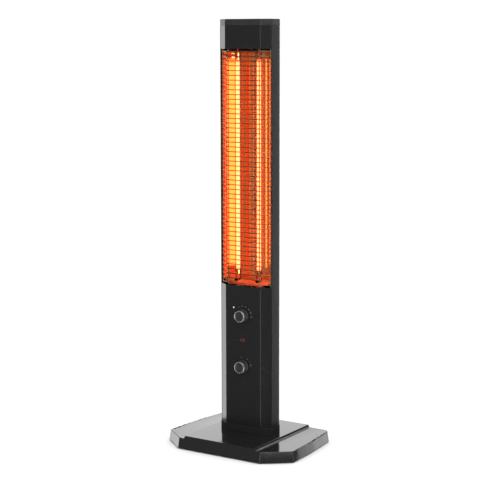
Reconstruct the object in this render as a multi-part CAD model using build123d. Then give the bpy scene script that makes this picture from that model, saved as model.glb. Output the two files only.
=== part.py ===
from build123d import *
import os
from math import cos, hypot, radians, sin

# Free-standing tower heater. Millimetres, +Z up, the front faces -Y, and the origin is on the
# floor under the middle of the base.

# ---- overall sizes ----
TOTAL_HEIGHT = 826.0
BASE_WIDTH = 289.0
BASE_DEPTH = 206.0

# ---- column section: an eight-sided tube with long front, rear and side flats ----
COLUMN_FRONT_Y = -15.7
COLUMN_FLAT = 78.6
COLUMN_CORNER_X = 20.0
COLUMN_CORNER_Y = 12.4
COLUMN_SIDE = 29.6
HOUSING_WALL = 1.6
PANEL_SHEET = 1.2
PANEL_GAP = 0.2
PANEL_RETURN = 10.7
PORT_RADIUS = 3.6
PORT_BORE = 1.75
REAR_PORT_X = 31.0
SIDE_PORT_SETBACK = 36.0
PORT_SINK = 2.4
COLUMN_REAR_ROUND = 12.0

# ---- heights ----
FOOT_LIFT = 1.8
WING_TOP = 22.2
CENTRE_TOP = 27.2
PLINTH_TOP = 41.0
WINDOW_BOTTOM = 317.0
WINDOW_TOP = 770.0
CAP_HEIGHT = 12.0
LAMP_MIDDLE = 546.5
LIT_LENGTH = 397.0
SELECTOR_HEIGHT = 158.5
PILOT_HEIGHT = 210.5
REGULATOR_HEIGHT = 259.0
TERMINAL_HEIGHT = 112.0
CORD_HEIGHT = 75.0

# ---- base ----
BASE_FRONT_FLAT = 188.0
BASE_CORNER_Y = 40.0
BASE_REAR_WIDTH = 258.0
BASE_SIDE_BULGE = 3.0
BASE_REAR_RADIUS = 14.0
BASE_DRAFT = 8.0
BASE_WALL = 2.6
BASE_EDGE_RADIUS = 1.2
BASE_SEAM = 0.3
CENTRE_HALF_WIDTH = 80.5
CENTRE_STEP_SLANT = 1.6
FRONT_CUT_SHARE = 0.4
BOSS_SINK = 1.0
TIE_PLATE = 3.0
TIE_PLATE_WIDTH = 236.0
TIE_PLATE_DEPTH = 150.0
TIE_PLATE_LOW = 4.0
TIE_PLATE_CORNER = 40.0
BASE_SCREW_X = (58.0, 104.0)
BASE_SCREW_Y = (60.0, 30.0)
BASE_BOSS_RADIUS = 5.0
COLUMN_BOLT_X = 20.0
COLUMN_BOLT_Y = 13.0
COLUMN_BOLT_RADIUS = 2.5
FOOT_RADIUS = 9.0
FOOT_THICKNESS = 3.0
FOOT_STEM_RADIUS = 3.0
FOOT_STEM = 6.0
FOOT_STEM_ROOM = 0.5
FOOT_BEVEL = 0.6
FOOT_X = 108.0
FOOT_FRONT_Y = -62.0
FOOT_REAR_Y = 78.0

# ---- plinth and cap ----
PLINTH_PROUD = 0.8
PLINTH_WALL = 3.4
PLINTH_FLOOR = 4.0
TONGUE = 2.0
TONGUE_LENGTH = 17.0
TONGUE_GAP = 0.25
TONGUE_CLEAR = 1.0
TONGUE_END_SETBACK = 8.0
PLINTH_BOSS_WALL = 1.0
PLINTH_BOSS_DROP = 2.0
CAP_TOP = 2.5
CAP_WALL = 3.2
CAP_EDGE_RADIUS = 2.2
CAP_BOSS_RADIUS = 4.6
CAP_TONGUE = 11.5

# ---- heating chamber ----
TUBE_X = 24.0
TUBE_DEPTH = 20.1
TUBE_RADIUS = 5.5
TUBE_WALL = 1.0
TUBE_END_WALL = 4.0
TUBE_TAIL = 47.0
FILAMENT_RADIUS = 3.2
LEAD_RADIUS = 0.6
CAP_BLOCK_X = 16.0
CAP_BLOCK_Y = 15.0
CAP_BLOCK_HEIGHT = 20.0
CAP_BLOCK_FLOOR = 8.0
CLIP_SHEET = 0.8
CLIP_HEIGHT = 10.0
CLIP_FOOT = 5.0
CLIP_FOOT_WIDTH = 8.0
BRACKET_SHEET = 1.2
BRACKET_MARGIN = 2.0
BRACKET_HALF_WIDTH = 46.0
BRACKET_NECK = 25.0
BRACKET_FLANGE = 16.0
BRACKET_SCREW_X = 16.0
BRACKET_SCREW_PROUD = 3.0
REFLECTOR_SHEET = 0.6
REFLECTOR_RIDGE_X = 4.4
REFLECTOR_RIDGE_DEPTH = 32.0
REFLECTOR_TROUGH_IN_X = 19.0
REFLECTOR_TROUGH_OUT_X = 25.5
REFLECTOR_TROUGH_DEPTH = 42.0
REFLECTOR_BOW = 6.0
REFLECTOR_BOW_STEPS = 6
REFLECTOR_LIP_X = 53.0
REFLECTOR_LIP_DEPTH = 25.2
REFLECTOR_FLANGE_DEPTH = 16.0
REFLECTOR_END_GAP = 0.3
END_PLATE_SHEET = 0.8
END_PLATE_FRONT = 6.4
END_PLATE_FIT = 0.5
UPPER_PLATE_DROP = 3.0
LOWER_PLATE_LIFT = 0.2
LOWER_PLATE_RISE = 9.0
LOWER_PLATE_SLOPE_DEPTH = 13.0
TUBE_HOLE_GAP = 1.5
SHIELD_HEIGHT = 282.0
CUTOUT_RADIUS = 8.0
CUTOUT_HEIGHT = 7.0
CUTOUT_TAB_SPACING = 10.0

# ---- wire guard ----
WIRE_INSET = 1.5
CROSS_WIRE_RADIUS = 0.9
UPRIGHT_WIRE_RADIUS = 1.1
WIRE_COUNT = 50
WELD_SINK = 0.1
FOLD_WIRE_SETBACK = 3.0
GUARD_END_X = 56.4
GUARD_TUCK = 7.0
WIRE_BEND = 2.5

# ---- controls ----
KNOB_RADIUS = 9.9
KNOB_SKIRT_RADIUS = 13.5
KNOB_SKIRT = 2.6
KNOB_GAP = 0.7
KNOB_LENGTH = 15.0
KNOB_RING_RADIUS = 11.0
KNOB_RING_WALL = 1.5
KNOB_RING_LENGTH = 4.6
KNOB_FACE_DISH = 1.6
KNOB_POCKET_RADIUS = 8.2
KNOB_POCKET = 4.0
KNOB_POINTER = 1.6
KNOB_POINTER_SINK = 0.3
KNOB_POINTER_DEPTH = 3.0
KNOB_POINTER_GAP = 0.2
KNOB_RING_SETBACK = 0.6
KNOB_RING_BEVEL = 0.5
KNOB_RING_NOTCH = 1.5
KNOB_FACE_RIM = 1.4
KNOB_FACE_WALL = 1.6
REGULATOR_POINTER = 93.0
SELECTOR_POINTER = 75.0
SHAFT_RADIUS = 3.0
SHAFT_FIT = 0.05
SHAFT_IN_BODY = 9.0
SHAFT_TIP_GAP = 2.0
SHAFT_FLAT_SHARE = 0.6
BUSHING_RADIUS = 4.8
BUSHING_REACH = 3.4
NUT_FLATS = 12.0
NUT_THICKNESS = 2.2
PANEL_HOLE_GAP = 0.3
CONTROL_WIDTH = 34.0
CONTROL_CORNER = 2.0
REGULATOR_DEPTH = 27.0
SELECTOR_DEPTH = 22.0
TERMINAL_PITCH = 9.0
TAB_WIDTH = 6.3
TAB_SHEET = 0.8
TAB_LENGTH = 8.0
LENS_RADIUS = 4.0
LENS_PROUD = 2.4
LENS_FLANGE = 5.0
LENS_FLANGE_SHEET = 0.8
LENS_DOME = 1.6
LENS_STEM = 2.0
PILOT_RADIUS = 3.4
PILOT_DEPTH = 18.0
PILOT_WALL = 1.4
PILOT_TAB_SPACING = 4.0
PILOT_TAB_LENGTH = 6.0

# ---- inlet, terminals, wires, safety switch ----
CORD_HOLE_RADIUS = 3.75
BUSH_NECK_RADIUS = 6.0
BUSH_FLANGE_RADIUS = 8.5
BUSH_FLANGE = 2.0
BLOCK_WIDTH = 34.0
BLOCK_DEPTH = 13.0
BLOCK_HEIGHT = 18.0
BLOCK_PITCH = 10.0
BLOCK_WELL_RADIUS = 2.6
BLOCK_WELL_DEPTH = 6.0
BLOCK_WIRE_SETBACK = 5.0
LEAD_TUBE_RADIUS = 1.3
RETURN_X = 10.0
RETURN_SETBACK = 7.0
RETURN_RISE = 8.0
RETURN_DROP = 14.0
LEAD_BEND_SHARE = 0.45
LAMP_LEAD_DROP = 10.0
LAMP_LEAD_SHIFT = 6.0
CONTROL_LEAD_SINK = 4.0
CONTROL_LEAD_RISE = 14.0
CONTROL_LEAD_SPREAD = 1.6
CONTROL_LEAD_SHIFT = 4.0
CONTROL_LEAD_TOP = 34.0
SWITCH_X = 30.0
SWITCH_Y = 60.0
SWITCH_BODY_X = 22.0
SWITCH_BODY_Y = 16.0
SWITCH_BODY_HEIGHT = 16.0
SWITCH_FLOOR = 1.2
SWITCH_CEILING = 1.6
PLUNGER_RADIUS = 3.0
PLUNGER_FIT = 0.08
PLUNGER_COLLAR_RADIUS = 4.6
PLUNGER_COLLAR = 1.6
PLUNGER_TIP_ROUND = 0.8
PLUNGER_TRAVEL = 5.0
SPRING_WIRE = 0.4
SPRING_RADIUS = 3.2
SPRING_TURNS = 4
SCREW_RADIUS = 1.7
SCREW_HEAD_RADIUS = 3.4
SCREW_HEAD = 2.2
SCREW_SLOT = 1.0
SCREW_SLOT_FLOOR = 0.6
CAP_SCREW_REACH = 9.0
PLINTH_SCREW_REACH = 10.0
BASE_SCREW_REACH = 10.0
COLUMN_BOLT_HEAD = 2.4
COLUMN_BOLT_SHORT = 4.0
HOLE_GAP = 0.4
TOUCH = 0.05
OVERCUT = 1.0

# ---- values that follow from the ones above ----
HALF_FLAT = COLUMN_FLAT / 2
HALF_WIDTH = HALF_FLAT + COLUMN_CORNER_X
COLUMN_DEPTH = 2 * COLUMN_CORNER_Y + COLUMN_SIDE
COLUMN_REAR_Y = COLUMN_FRONT_Y + COLUMN_DEPTH
COLUMN_MIDDLE_Y = COLUMN_FRONT_Y + COLUMN_DEPTH / 2
CORNER_LENGTH = hypot(COLUMN_CORNER_X, COLUMN_CORNER_Y)
CORNER_SLOPE = COLUMN_CORNER_Y / COLUMN_CORNER_X
REAR_WALL_Y = COLUMN_REAR_Y - HOUSING_WALL
RETURN_Y = REAR_WALL_Y - RETURN_SETBACK
CAP_SEAM = TOTAL_HEIGHT - CAP_HEIGHT
TUBE_Y = COLUMN_FRONT_Y + TUBE_DEPTH
REFLECTOR_FLANGE_X = HALF_WIDTH - HOUSING_WALL - END_PLATE_FIT - REFLECTOR_SHEET
TUBE_LOW = LAMP_MIDDLE - LIT_LENGTH / 2 - TUBE_TAIL
TUBE_HIGH = LAMP_MIDDLE + LIT_LENGTH / 2 + TUBE_TAIL
LOWER_SHELF = TUBE_LOW - CAP_BLOCK_FLOOR
UPPER_SHELF = TUBE_HIGH + CAP_BLOCK_FLOOR
LOWER_PLATE_TOP = WINDOW_BOTTOM + LOWER_PLATE_RISE + END_PLATE_SHEET
UPPER_PLATE_LOW = WINDOW_TOP - UPPER_PLATE_DROP - END_PLATE_SHEET
PANEL_BACK_Y = COLUMN_FRONT_Y + PANEL_SHEET
PANEL_EDGE_X = HALF_WIDTH - HOUSING_WALL - PANEL_GAP
TIE_PLATE_TOP = TIE_PLATE_LOW + TIE_PLATE
UPRIGHT_INSET = WIRE_INSET + 2 * CROSS_WIRE_RADIUS + UPRIGHT_WIRE_RADIUS - WELD_SINK
PORTS = [
    (sx * x, y)
    for sx in (-1, 1)
    for x, y in (
        (REAR_PORT_X, REAR_WALL_Y - PORT_SINK),
        (HALF_WIDTH - HOUSING_WALL - PORT_SINK, COLUMN_FRONT_Y + SIDE_PORT_SETBACK),
    )
]
COLUMN_BOLTS = [
    (sx * COLUMN_BOLT_X, COLUMN_MIDDLE_Y + sy * COLUMN_BOLT_Y) for sx in (-1, 1) for sy in (-1, 1)
]
BASE_SCREWS = [
    (sx * x, sy * y) for sx in (-1, 1) for sy in (-1, 1) for x, y in zip(BASE_SCREW_X, BASE_SCREW_Y)
]
FEET = [(sx * FOOT_X, y) for sx in (-1, 1) for y in (FOOT_FRONT_Y, FOOT_REAR_Y)]
LAMPS = {"left": -TUBE_X, "right": TUBE_X}


# ---- helpers ----
def block(x, y, z):
    """Box between the low and high values of each axis."""
    centre = Pos((x[0] + x[1]) / 2, (y[0] + y[1]) / 2, (z[0] + z[1]) / 2)
    return centre * Box(x[1] - x[0], y[1] - y[0], z[1] - z[0])


def post(x, y, z, radius):
    """Upright cylinder between two heights."""
    return Pos(x, y, (z[0] + z[1]) / 2) * Cylinder(radius, z[1] - z[0])


def spindle(x, z, y, radius):
    """Cylinder along Y between two depths."""
    return Pos(x, (y[0] + y[1]) / 2, z) * Rot(90, 0, 0) * Cylinder(radius, y[1] - y[0])


def prism(points, z):
    """Upright prism on a closed outline."""
    return Pos(0, 0, z[0]) * extrude(Polygon(*points, align=None), amount=z[1] - z[0])


def group(shapes):
    """Separate solids kept together in one node."""
    return Compound(children=list(shapes))


def column_points(front=0.0, corner=0.0, side=0.0, rear_corner=0.0, rear=0.0):
    """Outline of the column section with each edge moved inward by its own amount."""
    lean_x = COLUMN_CORNER_Y / CORNER_LENGTH
    lean_y = COLUMN_CORNER_X / CORNER_LENGTH

    def half(flat_inset, corner_inset):
        along = (flat_inset - corner_inset * lean_y) / COLUMN_CORNER_Y
        flat_end = (HALF_FLAT - corner_inset * lean_x + COLUMN_CORNER_X * along, flat_inset)
        along = (COLUMN_CORNER_X - side + corner_inset * lean_x) / COLUMN_CORNER_X
        side_end = (HALF_WIDTH - side, corner_inset * lean_y + COLUMN_CORNER_Y * along)
        return flat_end, side_end

    (fx, fy), (sx, sy) = half(front, corner)
    (rx, ry), (tx, ty) = half(rear, rear_corner)
    low, high = COLUMN_FRONT_Y, COLUMN_REAR_Y
    right = [(fx, low + fy), (sx, low + sy), (tx, high - ty), (rx, high - ry)]
    return right + [(-x, y) for x, y in reversed(right)]


def even(inset):
    """Column outline moved inward by the same amount all round."""
    return column_points(inset, inset, inset, inset, inset)


def rounded_rear(solid, inset):
    """Round the upright rear corners of a prism whose outline is moved inward by an inset."""
    corners = [edge for edge in solid.edges().filter_by(Axis.Z) if edge.center().Y > COLUMN_MIDDLE_Y]
    return fillet(corners, COLUMN_REAR_ROUND - inset)


def column_prism(inset, z):
    """Prism on the column outline moved inward all round, its rear corners rounded to suit."""
    return rounded_rear(prism(even(inset), z), inset)


def overcut(span):
    """A pair of values widened a little at both ends, for a tool that cuts right through."""
    return (span[0] - OVERCUT, span[1] + OVERCUT)


# ---- column ----
def column_housing():
    """Extruded channel: both sides, the rear and four screw ports, open at the front."""
    z = (PLINTH_TOP, CAP_SEAM)
    shell = column_prism(0, z) - column_prism(HOUSING_WALL, z)
    reach = HALF_WIDTH - HOUSING_WALL
    front = overcut((COLUMN_FRONT_Y, COLUMN_FRONT_Y + COLUMN_CORNER_Y))
    shell -= block((-reach, reach), front, overcut(z))
    inside = column_prism(HOUSING_WALL / 2, z)
    for x, y in PORTS:
        shell += post(x, y, z, PORT_RADIUS) & inside
    for x, y in PORTS:
        shell -= post(x, y, overcut(z), PORT_BORE)
    for x, height in bracket_screw_places():
        shell -= spindle(x, height, overcut((REAR_WALL_Y, COLUMN_REAR_Y)), SCREW_RADIUS + HOLE_GAP)
    shell -= spindle(0, CORD_HEIGHT, overcut((REAR_WALL_Y, COLUMN_REAR_Y)), BUSH_NECK_RADIUS)
    return shell


def folded_panel(z):
    """Front sheet with both corner faces and a return flange inside each housing wall."""
    sheet = prism(even(0), z) - prism(even(PANEL_SHEET), z)
    front = overcut((COLUMN_FRONT_Y, COLUMN_FRONT_Y + COLUMN_CORNER_Y))
    sheet &= block((-PANEL_EDGE_X, PANEL_EDGE_X), front, z)
    corner_y = COLUMN_FRONT_Y + (PANEL_EDGE_X - HALF_FLAT) * CORNER_SLOPE
    for sx in (-1, 1):
        x = sorted((sx * PANEL_EDGE_X, sx * (PANEL_EDGE_X - PANEL_SHEET)))
        sheet += block(x, (corner_y + PANEL_GAP, corner_y + PANEL_RETURN), z)
    return sheet


def top_front_panel():
    """Folded sheet above the window."""
    return folded_panel((WINDOW_TOP, CAP_SEAM))


def control_panel():
    """Folded sheet below the window, with holes for both controls and the pilot lamp."""
    panel = folded_panel((PLINTH_TOP, WINDOW_BOTTOM))
    depth = overcut((COLUMN_FRONT_Y, PANEL_BACK_Y))
    for height in (REGULATOR_HEIGHT, SELECTOR_HEIGHT):
        panel -= spindle(0, height, depth, BUSHING_RADIUS + PANEL_HOLE_GAP)
    panel -= spindle(0, PILOT_HEIGHT, depth, PILOT_RADIUS + PANEL_HOLE_GAP)
    return panel


def tongues(z):
    """Four locating tongues that stand inside the column walls, clear of ports and flanges."""
    front = PANEL_BACK_Y + TONGUE_GAP
    rear = REAR_WALL_Y - TONGUE_GAP
    side = HALF_WIDTH - HOUSING_WALL - TONGUE_GAP
    low = COLUMN_FRONT_Y + COLUMN_CORNER_Y + PANEL_RETURN
    high = COLUMN_FRONT_Y + SIDE_PORT_SETBACK - PORT_RADIUS - TONGUE_CLEAR
    reach = REAR_PORT_X - PORT_RADIUS - TONGUE_CLEAR
    front_reach = HALF_FLAT - TONGUE_END_SETBACK
    shapes = [
        block((-front_reach, front_reach), (front, front + TONGUE), z),
        block((-reach, reach), (rear - TONGUE, rear), z),
    ]
    for sx in (-1, 1):
        shapes.append(block(sorted((sx * side, sx * (side - TONGUE))), (low, high), z))
    return shapes


def column_plinth():
    """Shoe under the column: outer rim, floor with bolt bosses, and locating tongues."""
    z = (CENTRE_TOP, PLINTH_TOP)
    shoe = column_prism(-PLINTH_PROUD, z)
    shoe -= column_prism(PLINTH_WALL, (CENTRE_TOP + PLINTH_FLOOR, PLINTH_TOP + OVERCUT))
    for x, y in PORTS:
        shoe += post(x, y, z, PORT_RADIUS + PLINTH_BOSS_WALL)
    for x, y in COLUMN_BOLTS:
        shoe += post(x, y, (CENTRE_TOP, PLINTH_TOP - PLINTH_BOSS_DROP), 2 * COLUMN_BOLT_RADIUS)
    for tongue in tongues((CENTRE_TOP, PLINTH_TOP + TONGUE_LENGTH)):
        shoe += tongue
    low = CENTRE_TOP - OVERCUT
    for x, y in PORTS:
        shoe -= post(x, y, (low, PLINTH_TOP + OVERCUT), SCREW_RADIUS + HOLE_GAP)
        shoe -= post(x, y, (low, CENTRE_TOP + 2 * SCREW_HEAD), SCREW_HEAD_RADIUS + HOLE_GAP)
    for x, y in COLUMN_BOLTS:
        shoe -= post(x, y, (low, PLINTH_TOP), COLUMN_BOLT_RADIUS + TOUCH)
    return shoe


def top_cap():
    """Moulded cap with a rounded rim, screw bosses over the ports and locating tongues."""
    cap = column_prism(0, (CAP_SEAM, TOTAL_HEIGHT))
    cap = fillet(cap.edges().group_by(Axis.Z)[-1], CAP_EDGE_RADIUS)
    cap -= column_prism(CAP_WALL, (CAP_SEAM - OVERCUT, TOTAL_HEIGHT - CAP_TOP))
    boss = (CAP_SEAM, TOTAL_HEIGHT - CAP_TOP / 2)
    for x, y in PORTS:
        cap += post(x, y, boss, CAP_BOSS_RADIUS) & column_prism(CAP_WALL / 2, boss)
    for tongue in tongues((CAP_SEAM - CAP_TONGUE, TOTAL_HEIGHT - CAP_TOP)):
        cap += tongue
    for x, y in PORTS:
        cap -= post(x, y, overcut((CAP_SEAM, TOTAL_HEIGHT)), SCREW_RADIUS + HOLE_GAP)
        seat = (TOTAL_HEIGHT - SCREW_HEAD - HOLE_GAP, TOTAL_HEIGHT + OVERCUT)
        cap -= post(x, y, seat, SCREW_HEAD_RADIUS + HOLE_GAP)
    return cap


def screw(x, y, head, tip, shank=SCREW_RADIUS, head_radius=SCREW_HEAD_RADIUS, height=SCREW_HEAD):
    """Upright pan-head screw; the tip can be above or below the head's inner face."""
    away = height if head > tip else -height
    body = post(x, y, sorted((head, tip)), shank) + post(x, y, sorted((head, head + away)), head_radius)
    slot = block((x - SCREW_SLOT / 2, x + SCREW_SLOT / 2), overcut((y - head_radius, y + head_radius)),
                 sorted((head + away * SCREW_SLOT_FLOOR, head + 2 * away)))
    return body - slot


def cap_screws():
    """Screws down through the cap into the ports."""
    seat = TOTAL_HEIGHT - SCREW_HEAD - HOLE_GAP
    return group(screw(x, y, seat, CAP_SEAM - CAP_SCREW_REACH) for x, y in PORTS)


def plinth_screws():
    """Screws up through the plinth into the ports, their heads sunk in the floor."""
    seat = CENTRE_TOP + 2 * SCREW_HEAD
    return group(screw(x, y, seat, PLINTH_TOP + PLINTH_SCREW_REACH) for x, y in PORTS)


# ---- heating chamber ----
def bowed(start, end, bow, steps):
    """Points from start to end, pushed back by up to bow in between."""
    shares = [n / steps for n in range(steps + 1)]
    return [
        (start[0] + (end[0] - start[0]) * t, start[1] + (end[1] - start[1]) * t + 4 * bow * t * (1 - t))
        for t in shares
    ]


def thickened(line, sheet):
    """Closed outline of a bent sheet whose front face follows a line drawn from left to right."""
    normals = []
    for (ax, ay), (bx, by) in zip(line, line[1:]):
        length = hypot(bx - ax, by - ay)
        normals.append(((ay - by) / length, (bx - ax) / length))
    rear = []
    for (x, y), (px, py), (qx, qy) in zip(line, normals[:1] + normals, normals + normals[-1:]):
        scale = sheet / (1 + px * qx + py * qy)
        rear.append((x + (px + qx) * scale, y + (py + qy) * scale))
    return line + rear[::-1]


def reflector():
    """Bent W sheet: a bowed trough behind each lamp, a low ridge between them and a flange at each side."""
    trough_out = (REFLECTOR_TROUGH_OUT_X, REFLECTOR_TROUGH_DEPTH)
    lip = (REFLECTOR_LIP_X, REFLECTOR_LIP_DEPTH)
    half = [
        (REFLECTOR_RIDGE_X, REFLECTOR_RIDGE_DEPTH),
        (REFLECTOR_TROUGH_IN_X, REFLECTOR_TROUGH_DEPTH),
        *bowed(trough_out, lip, REFLECTOR_BOW, REFLECTOR_BOW_STEPS),
        (REFLECTOR_FLANGE_X, REFLECTOR_LIP_DEPTH),
        (REFLECTOR_FLANGE_X, REFLECTOR_FLANGE_DEPTH),
    ]
    half = [(x, COLUMN_FRONT_Y + d) for x, d in half]
    line = [(-x, y) for x, y in reversed(half)] + half
    z = (LOWER_PLATE_TOP + REFLECTOR_END_GAP, UPPER_PLATE_LOW - REFLECTOR_END_GAP)
    return prism(thickened(line, REFLECTOR_SHEET), z)


def plate_blank(z):
    """Blank of a plate that closes the chamber between the guard and the rear wall."""
    fit = HOUSING_WALL + END_PLATE_FIT
    return rounded_rear(prism(column_points(END_PLATE_FRONT, END_PLATE_FRONT, fit, fit, fit), z), fit)


def clear_of_column(plate, z):
    """Cut the ports, the lamp tubes and the return leads' holes out of a cross plate."""
    z = overcut(z)
    for x, y in PORTS:
        plate -= post(x, y, z, PORT_RADIUS + END_PLATE_FIT)
    for x in LAMPS.values():
        plate -= post(x, TUBE_Y, z, TUBE_RADIUS + TUBE_HOLE_GAP)
    for x in (-RETURN_X, RETURN_X):
        plate -= post(x, RETURN_Y, z, 2 * LEAD_TUBE_RADIUS)
    return plate


def reflector_top_plate():
    """Flat plate above the reflector."""
    z = (UPPER_PLATE_LOW, UPPER_PLATE_LOW + END_PLATE_SHEET)
    return clear_of_column(plate_blank(z), z)


def reflector_bottom_plate():
    """Plate below the reflector whose front part slopes down to the window's lower edge."""
    z = (WINDOW_BOTTOM - OVERCUT, LOWER_PLATE_TOP)
    front = COLUMN_FRONT_Y + END_PLATE_FRONT
    bend = front + LOWER_PLATE_SLOPE_DEPTH
    rear = COLUMN_REAR_Y
    top, low = LOWER_PLATE_TOP, WINDOW_BOTTOM + LOWER_PLATE_LIFT
    ahead = front - OVERCUT
    side = [(ahead, low), (ahead, low + END_PLATE_SHEET), (bend, top), (rear, top),
            (rear, top - END_PLATE_SHEET), (bend, top - END_PLATE_SHEET)]
    sheet = extrude(Plane.YZ * Polygon(*side, align=None), amount=HALF_WIDTH, both=True)
    return clear_of_column(sheet & plate_blank(z), z)


def quartz_tube(x):
    """Hollow lamp tube with a closed wall and a lead hole at each end."""
    tube = post(x, TUBE_Y, (TUBE_LOW, TUBE_HIGH), TUBE_RADIUS)
    inner = (TUBE_LOW + TUBE_END_WALL, TUBE_HIGH - TUBE_END_WALL)
    tube -= post(x, TUBE_Y, inner, TUBE_RADIUS - TUBE_WALL)
    return tube - post(x, TUBE_Y, overcut((TUBE_LOW, TUBE_HIGH)), LEAD_RADIUS + TOUCH)


def carbon_filament(x):
    """Carbon element on the lamp's axis with a thin lead to each end."""
    lit = (LAMP_MIDDLE - LIT_LENGTH / 2, LAMP_MIDDLE + LIT_LENGTH / 2)
    return post(x, TUBE_Y, lit, FILAMENT_RADIUS) + post(x, TUBE_Y, (TUBE_LOW, TUBE_HIGH), LEAD_RADIUS)


def ceramic_caps(upper):
    """Pair of ceramic lamp holders, each with a blind socket and a lead hole."""
    shapes = []
    for x in LAMPS.values():
        z = (UPPER_SHELF - CAP_BLOCK_HEIGHT, UPPER_SHELF) if upper else (
            LOWER_SHELF, LOWER_SHELF + CAP_BLOCK_HEIGHT)
        body = block((x - CAP_BLOCK_X / 2, x + CAP_BLOCK_X / 2),
                     (TUBE_Y - CAP_BLOCK_Y / 2, TUBE_Y + CAP_BLOCK_Y / 2), z)
        socket = (z[0] - OVERCUT, TUBE_HIGH) if upper else (TUBE_LOW, z[1] + OVERCUT)
        body -= post(x, TUBE_Y, socket, TUBE_RADIUS + TOUCH)
        body -= post(x, TUBE_Y, overcut(z), LEAD_TUBE_RADIUS + TOUCH)
        shapes.append(body)
    return group(shapes)


def lamp_clips(upper):
    """Pair of spring clips, each a U round its ceramic holder with a foot on the shelf."""
    shapes = []
    turn = -1 if upper else 1
    shelf = UPPER_SHELF if upper else LOWER_SHELF
    rear = TUBE_Y + CAP_BLOCK_Y / 2
    for x in LAMPS.values():
        outer = CAP_BLOCK_X / 2 + CLIP_SHEET
        z = sorted((shelf, shelf + turn * CLIP_HEIGHT))
        clip = block((x - outer, x + outer), (TUBE_Y - CAP_BLOCK_Y / 2, rear + CLIP_SHEET), z)
        clip -= block((x - CAP_BLOCK_X / 2, x + CAP_BLOCK_X / 2), (TUBE_Y - CAP_BLOCK_Y, rear), z)
        foot_z = sorted((shelf, shelf + turn * CLIP_SHEET))
        clip += block((x - CLIP_FOOT_WIDTH / 2, x + CLIP_FOOT_WIDTH / 2), (rear, rear + CLIP_FOOT), foot_z)
        shapes.append(clip)
    return group(shapes)


def lamp_bracket(upper):
    """Shelf that carries one end of both lamps, with a neck and a flange on the rear wall."""
    shelf = UPPER_SHELF if upper else LOWER_SHELF
    z = (shelf, shelf + BRACKET_SHEET) if upper else (shelf - BRACKET_SHEET, shelf)
    front = TUBE_Y - CAP_BLOCK_Y / 2 - BRACKET_MARGIN
    waist = TUBE_Y + CAP_BLOCK_Y / 2 + CLIP_FOOT + BRACKET_MARGIN
    plate = block((-BRACKET_HALF_WIDTH, BRACKET_HALF_WIDTH), (front, waist), z)
    plate += block((-BRACKET_NECK, BRACKET_NECK), (waist, REAR_WALL_Y), z)
    flange = (shelf - BRACKET_FLANGE, z[1])
    plate += block((-BRACKET_NECK, BRACKET_NECK), (REAR_WALL_Y - BRACKET_SHEET, REAR_WALL_Y), flange)
    for x in LAMPS.values():
        plate -= post(x, TUBE_Y, overcut(z), 2 * LEAD_TUBE_RADIUS)
    for x in (-RETURN_X, RETURN_X):
        plate -= post(x, RETURN_Y, overcut(z), 2 * LEAD_TUBE_RADIUS)
    for x, height in bracket_screw_places():
        depth = overcut((REAR_WALL_Y - BRACKET_SHEET, REAR_WALL_Y))
        plate -= spindle(x, height, depth, SCREW_RADIUS + TOUCH)
    return plate


def bracket_screw_places():
    """X and height of the four screws that hold the two brackets."""
    drop = BRACKET_FLANGE / 2
    heights = (LOWER_SHELF - drop, UPPER_SHELF - drop)
    return [(sx * BRACKET_SCREW_X, height) for sx in (-1, 1) for height in heights]


def bracket_screws():
    """Screws in from the back of the column."""
    shapes = []
    for x, height in bracket_screw_places():
        tip = REAR_WALL_Y - BRACKET_SHEET - BRACKET_SCREW_PROUD
        body = spindle(x, height, (tip, COLUMN_REAR_Y), SCREW_RADIUS)
        head = spindle(x, height, (COLUMN_REAR_Y, COLUMN_REAR_Y + SCREW_HEAD), SCREW_HEAD_RADIUS)
        slot = block(overcut((x - SCREW_HEAD_RADIUS, x + SCREW_HEAD_RADIUS)),
                     (COLUMN_REAR_Y + SCREW_HEAD * SCREW_SLOT_FLOOR, COLUMN_REAR_Y + 2 * SCREW_HEAD),
                     (height - SCREW_SLOT / 2, height + SCREW_SLOT / 2))
        shapes.append(body + head - slot)
    return group(shapes)


def heat_shield():
    """Cross plate between the hot chamber and the controls."""
    z = (SHIELD_HEIGHT - BRACKET_SHEET, SHIELD_HEIGHT)
    inset = HOUSING_WALL + END_PLATE_FIT
    front = PANEL_SHEET + END_PLATE_FIT
    side = HALF_WIDTH - PANEL_EDGE_X + PANEL_SHEET + END_PLATE_FIT
    plate = rounded_rear(prism(column_points(front, front, side, inset, inset), z), inset)
    for x, y in PORTS:
        plate -= post(x, y, overcut(z), PORT_RADIUS + END_PLATE_FIT)
    for x in LAMPS.values():
        plate -= post(x, TUBE_Y, overcut(z), 2 * LEAD_TUBE_RADIUS)
    for x in (-RETURN_X, RETURN_X):
        plate -= post(x, RETURN_Y, overcut(z), 2 * LEAD_TUBE_RADIUS)
    notch = (REAR_WALL_Y - BRACKET_SHEET - OVERCUT, COLUMN_REAR_Y)
    plate -= block(overcut((-BRACKET_NECK, BRACKET_NECK)), notch, overcut(z))
    return plate


def thermal_cutout():
    """Round bimetal cutout under the heat shield with two tabs."""
    top = SHIELD_HEIGHT - BRACKET_SHEET
    x, y = HALF_FLAT, TUBE_Y
    body = post(x, y, (top - CUTOUT_HEIGHT, top), CUTOUT_RADIUS)
    tip, root = top - CUTOUT_HEIGHT - TAB_LENGTH, top - CUTOUT_HEIGHT + OVERCUT
    for side in (-1, 1):
        middle = y + side * CUTOUT_TAB_SPACING / 2
        tab = (middle - TAB_SHEET / 2, middle + TAB_SHEET / 2)
        body += block((x - TAB_WIDTH / 2, x + TAB_WIDTH / 2), tab, (tip, root))
    return body


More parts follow.
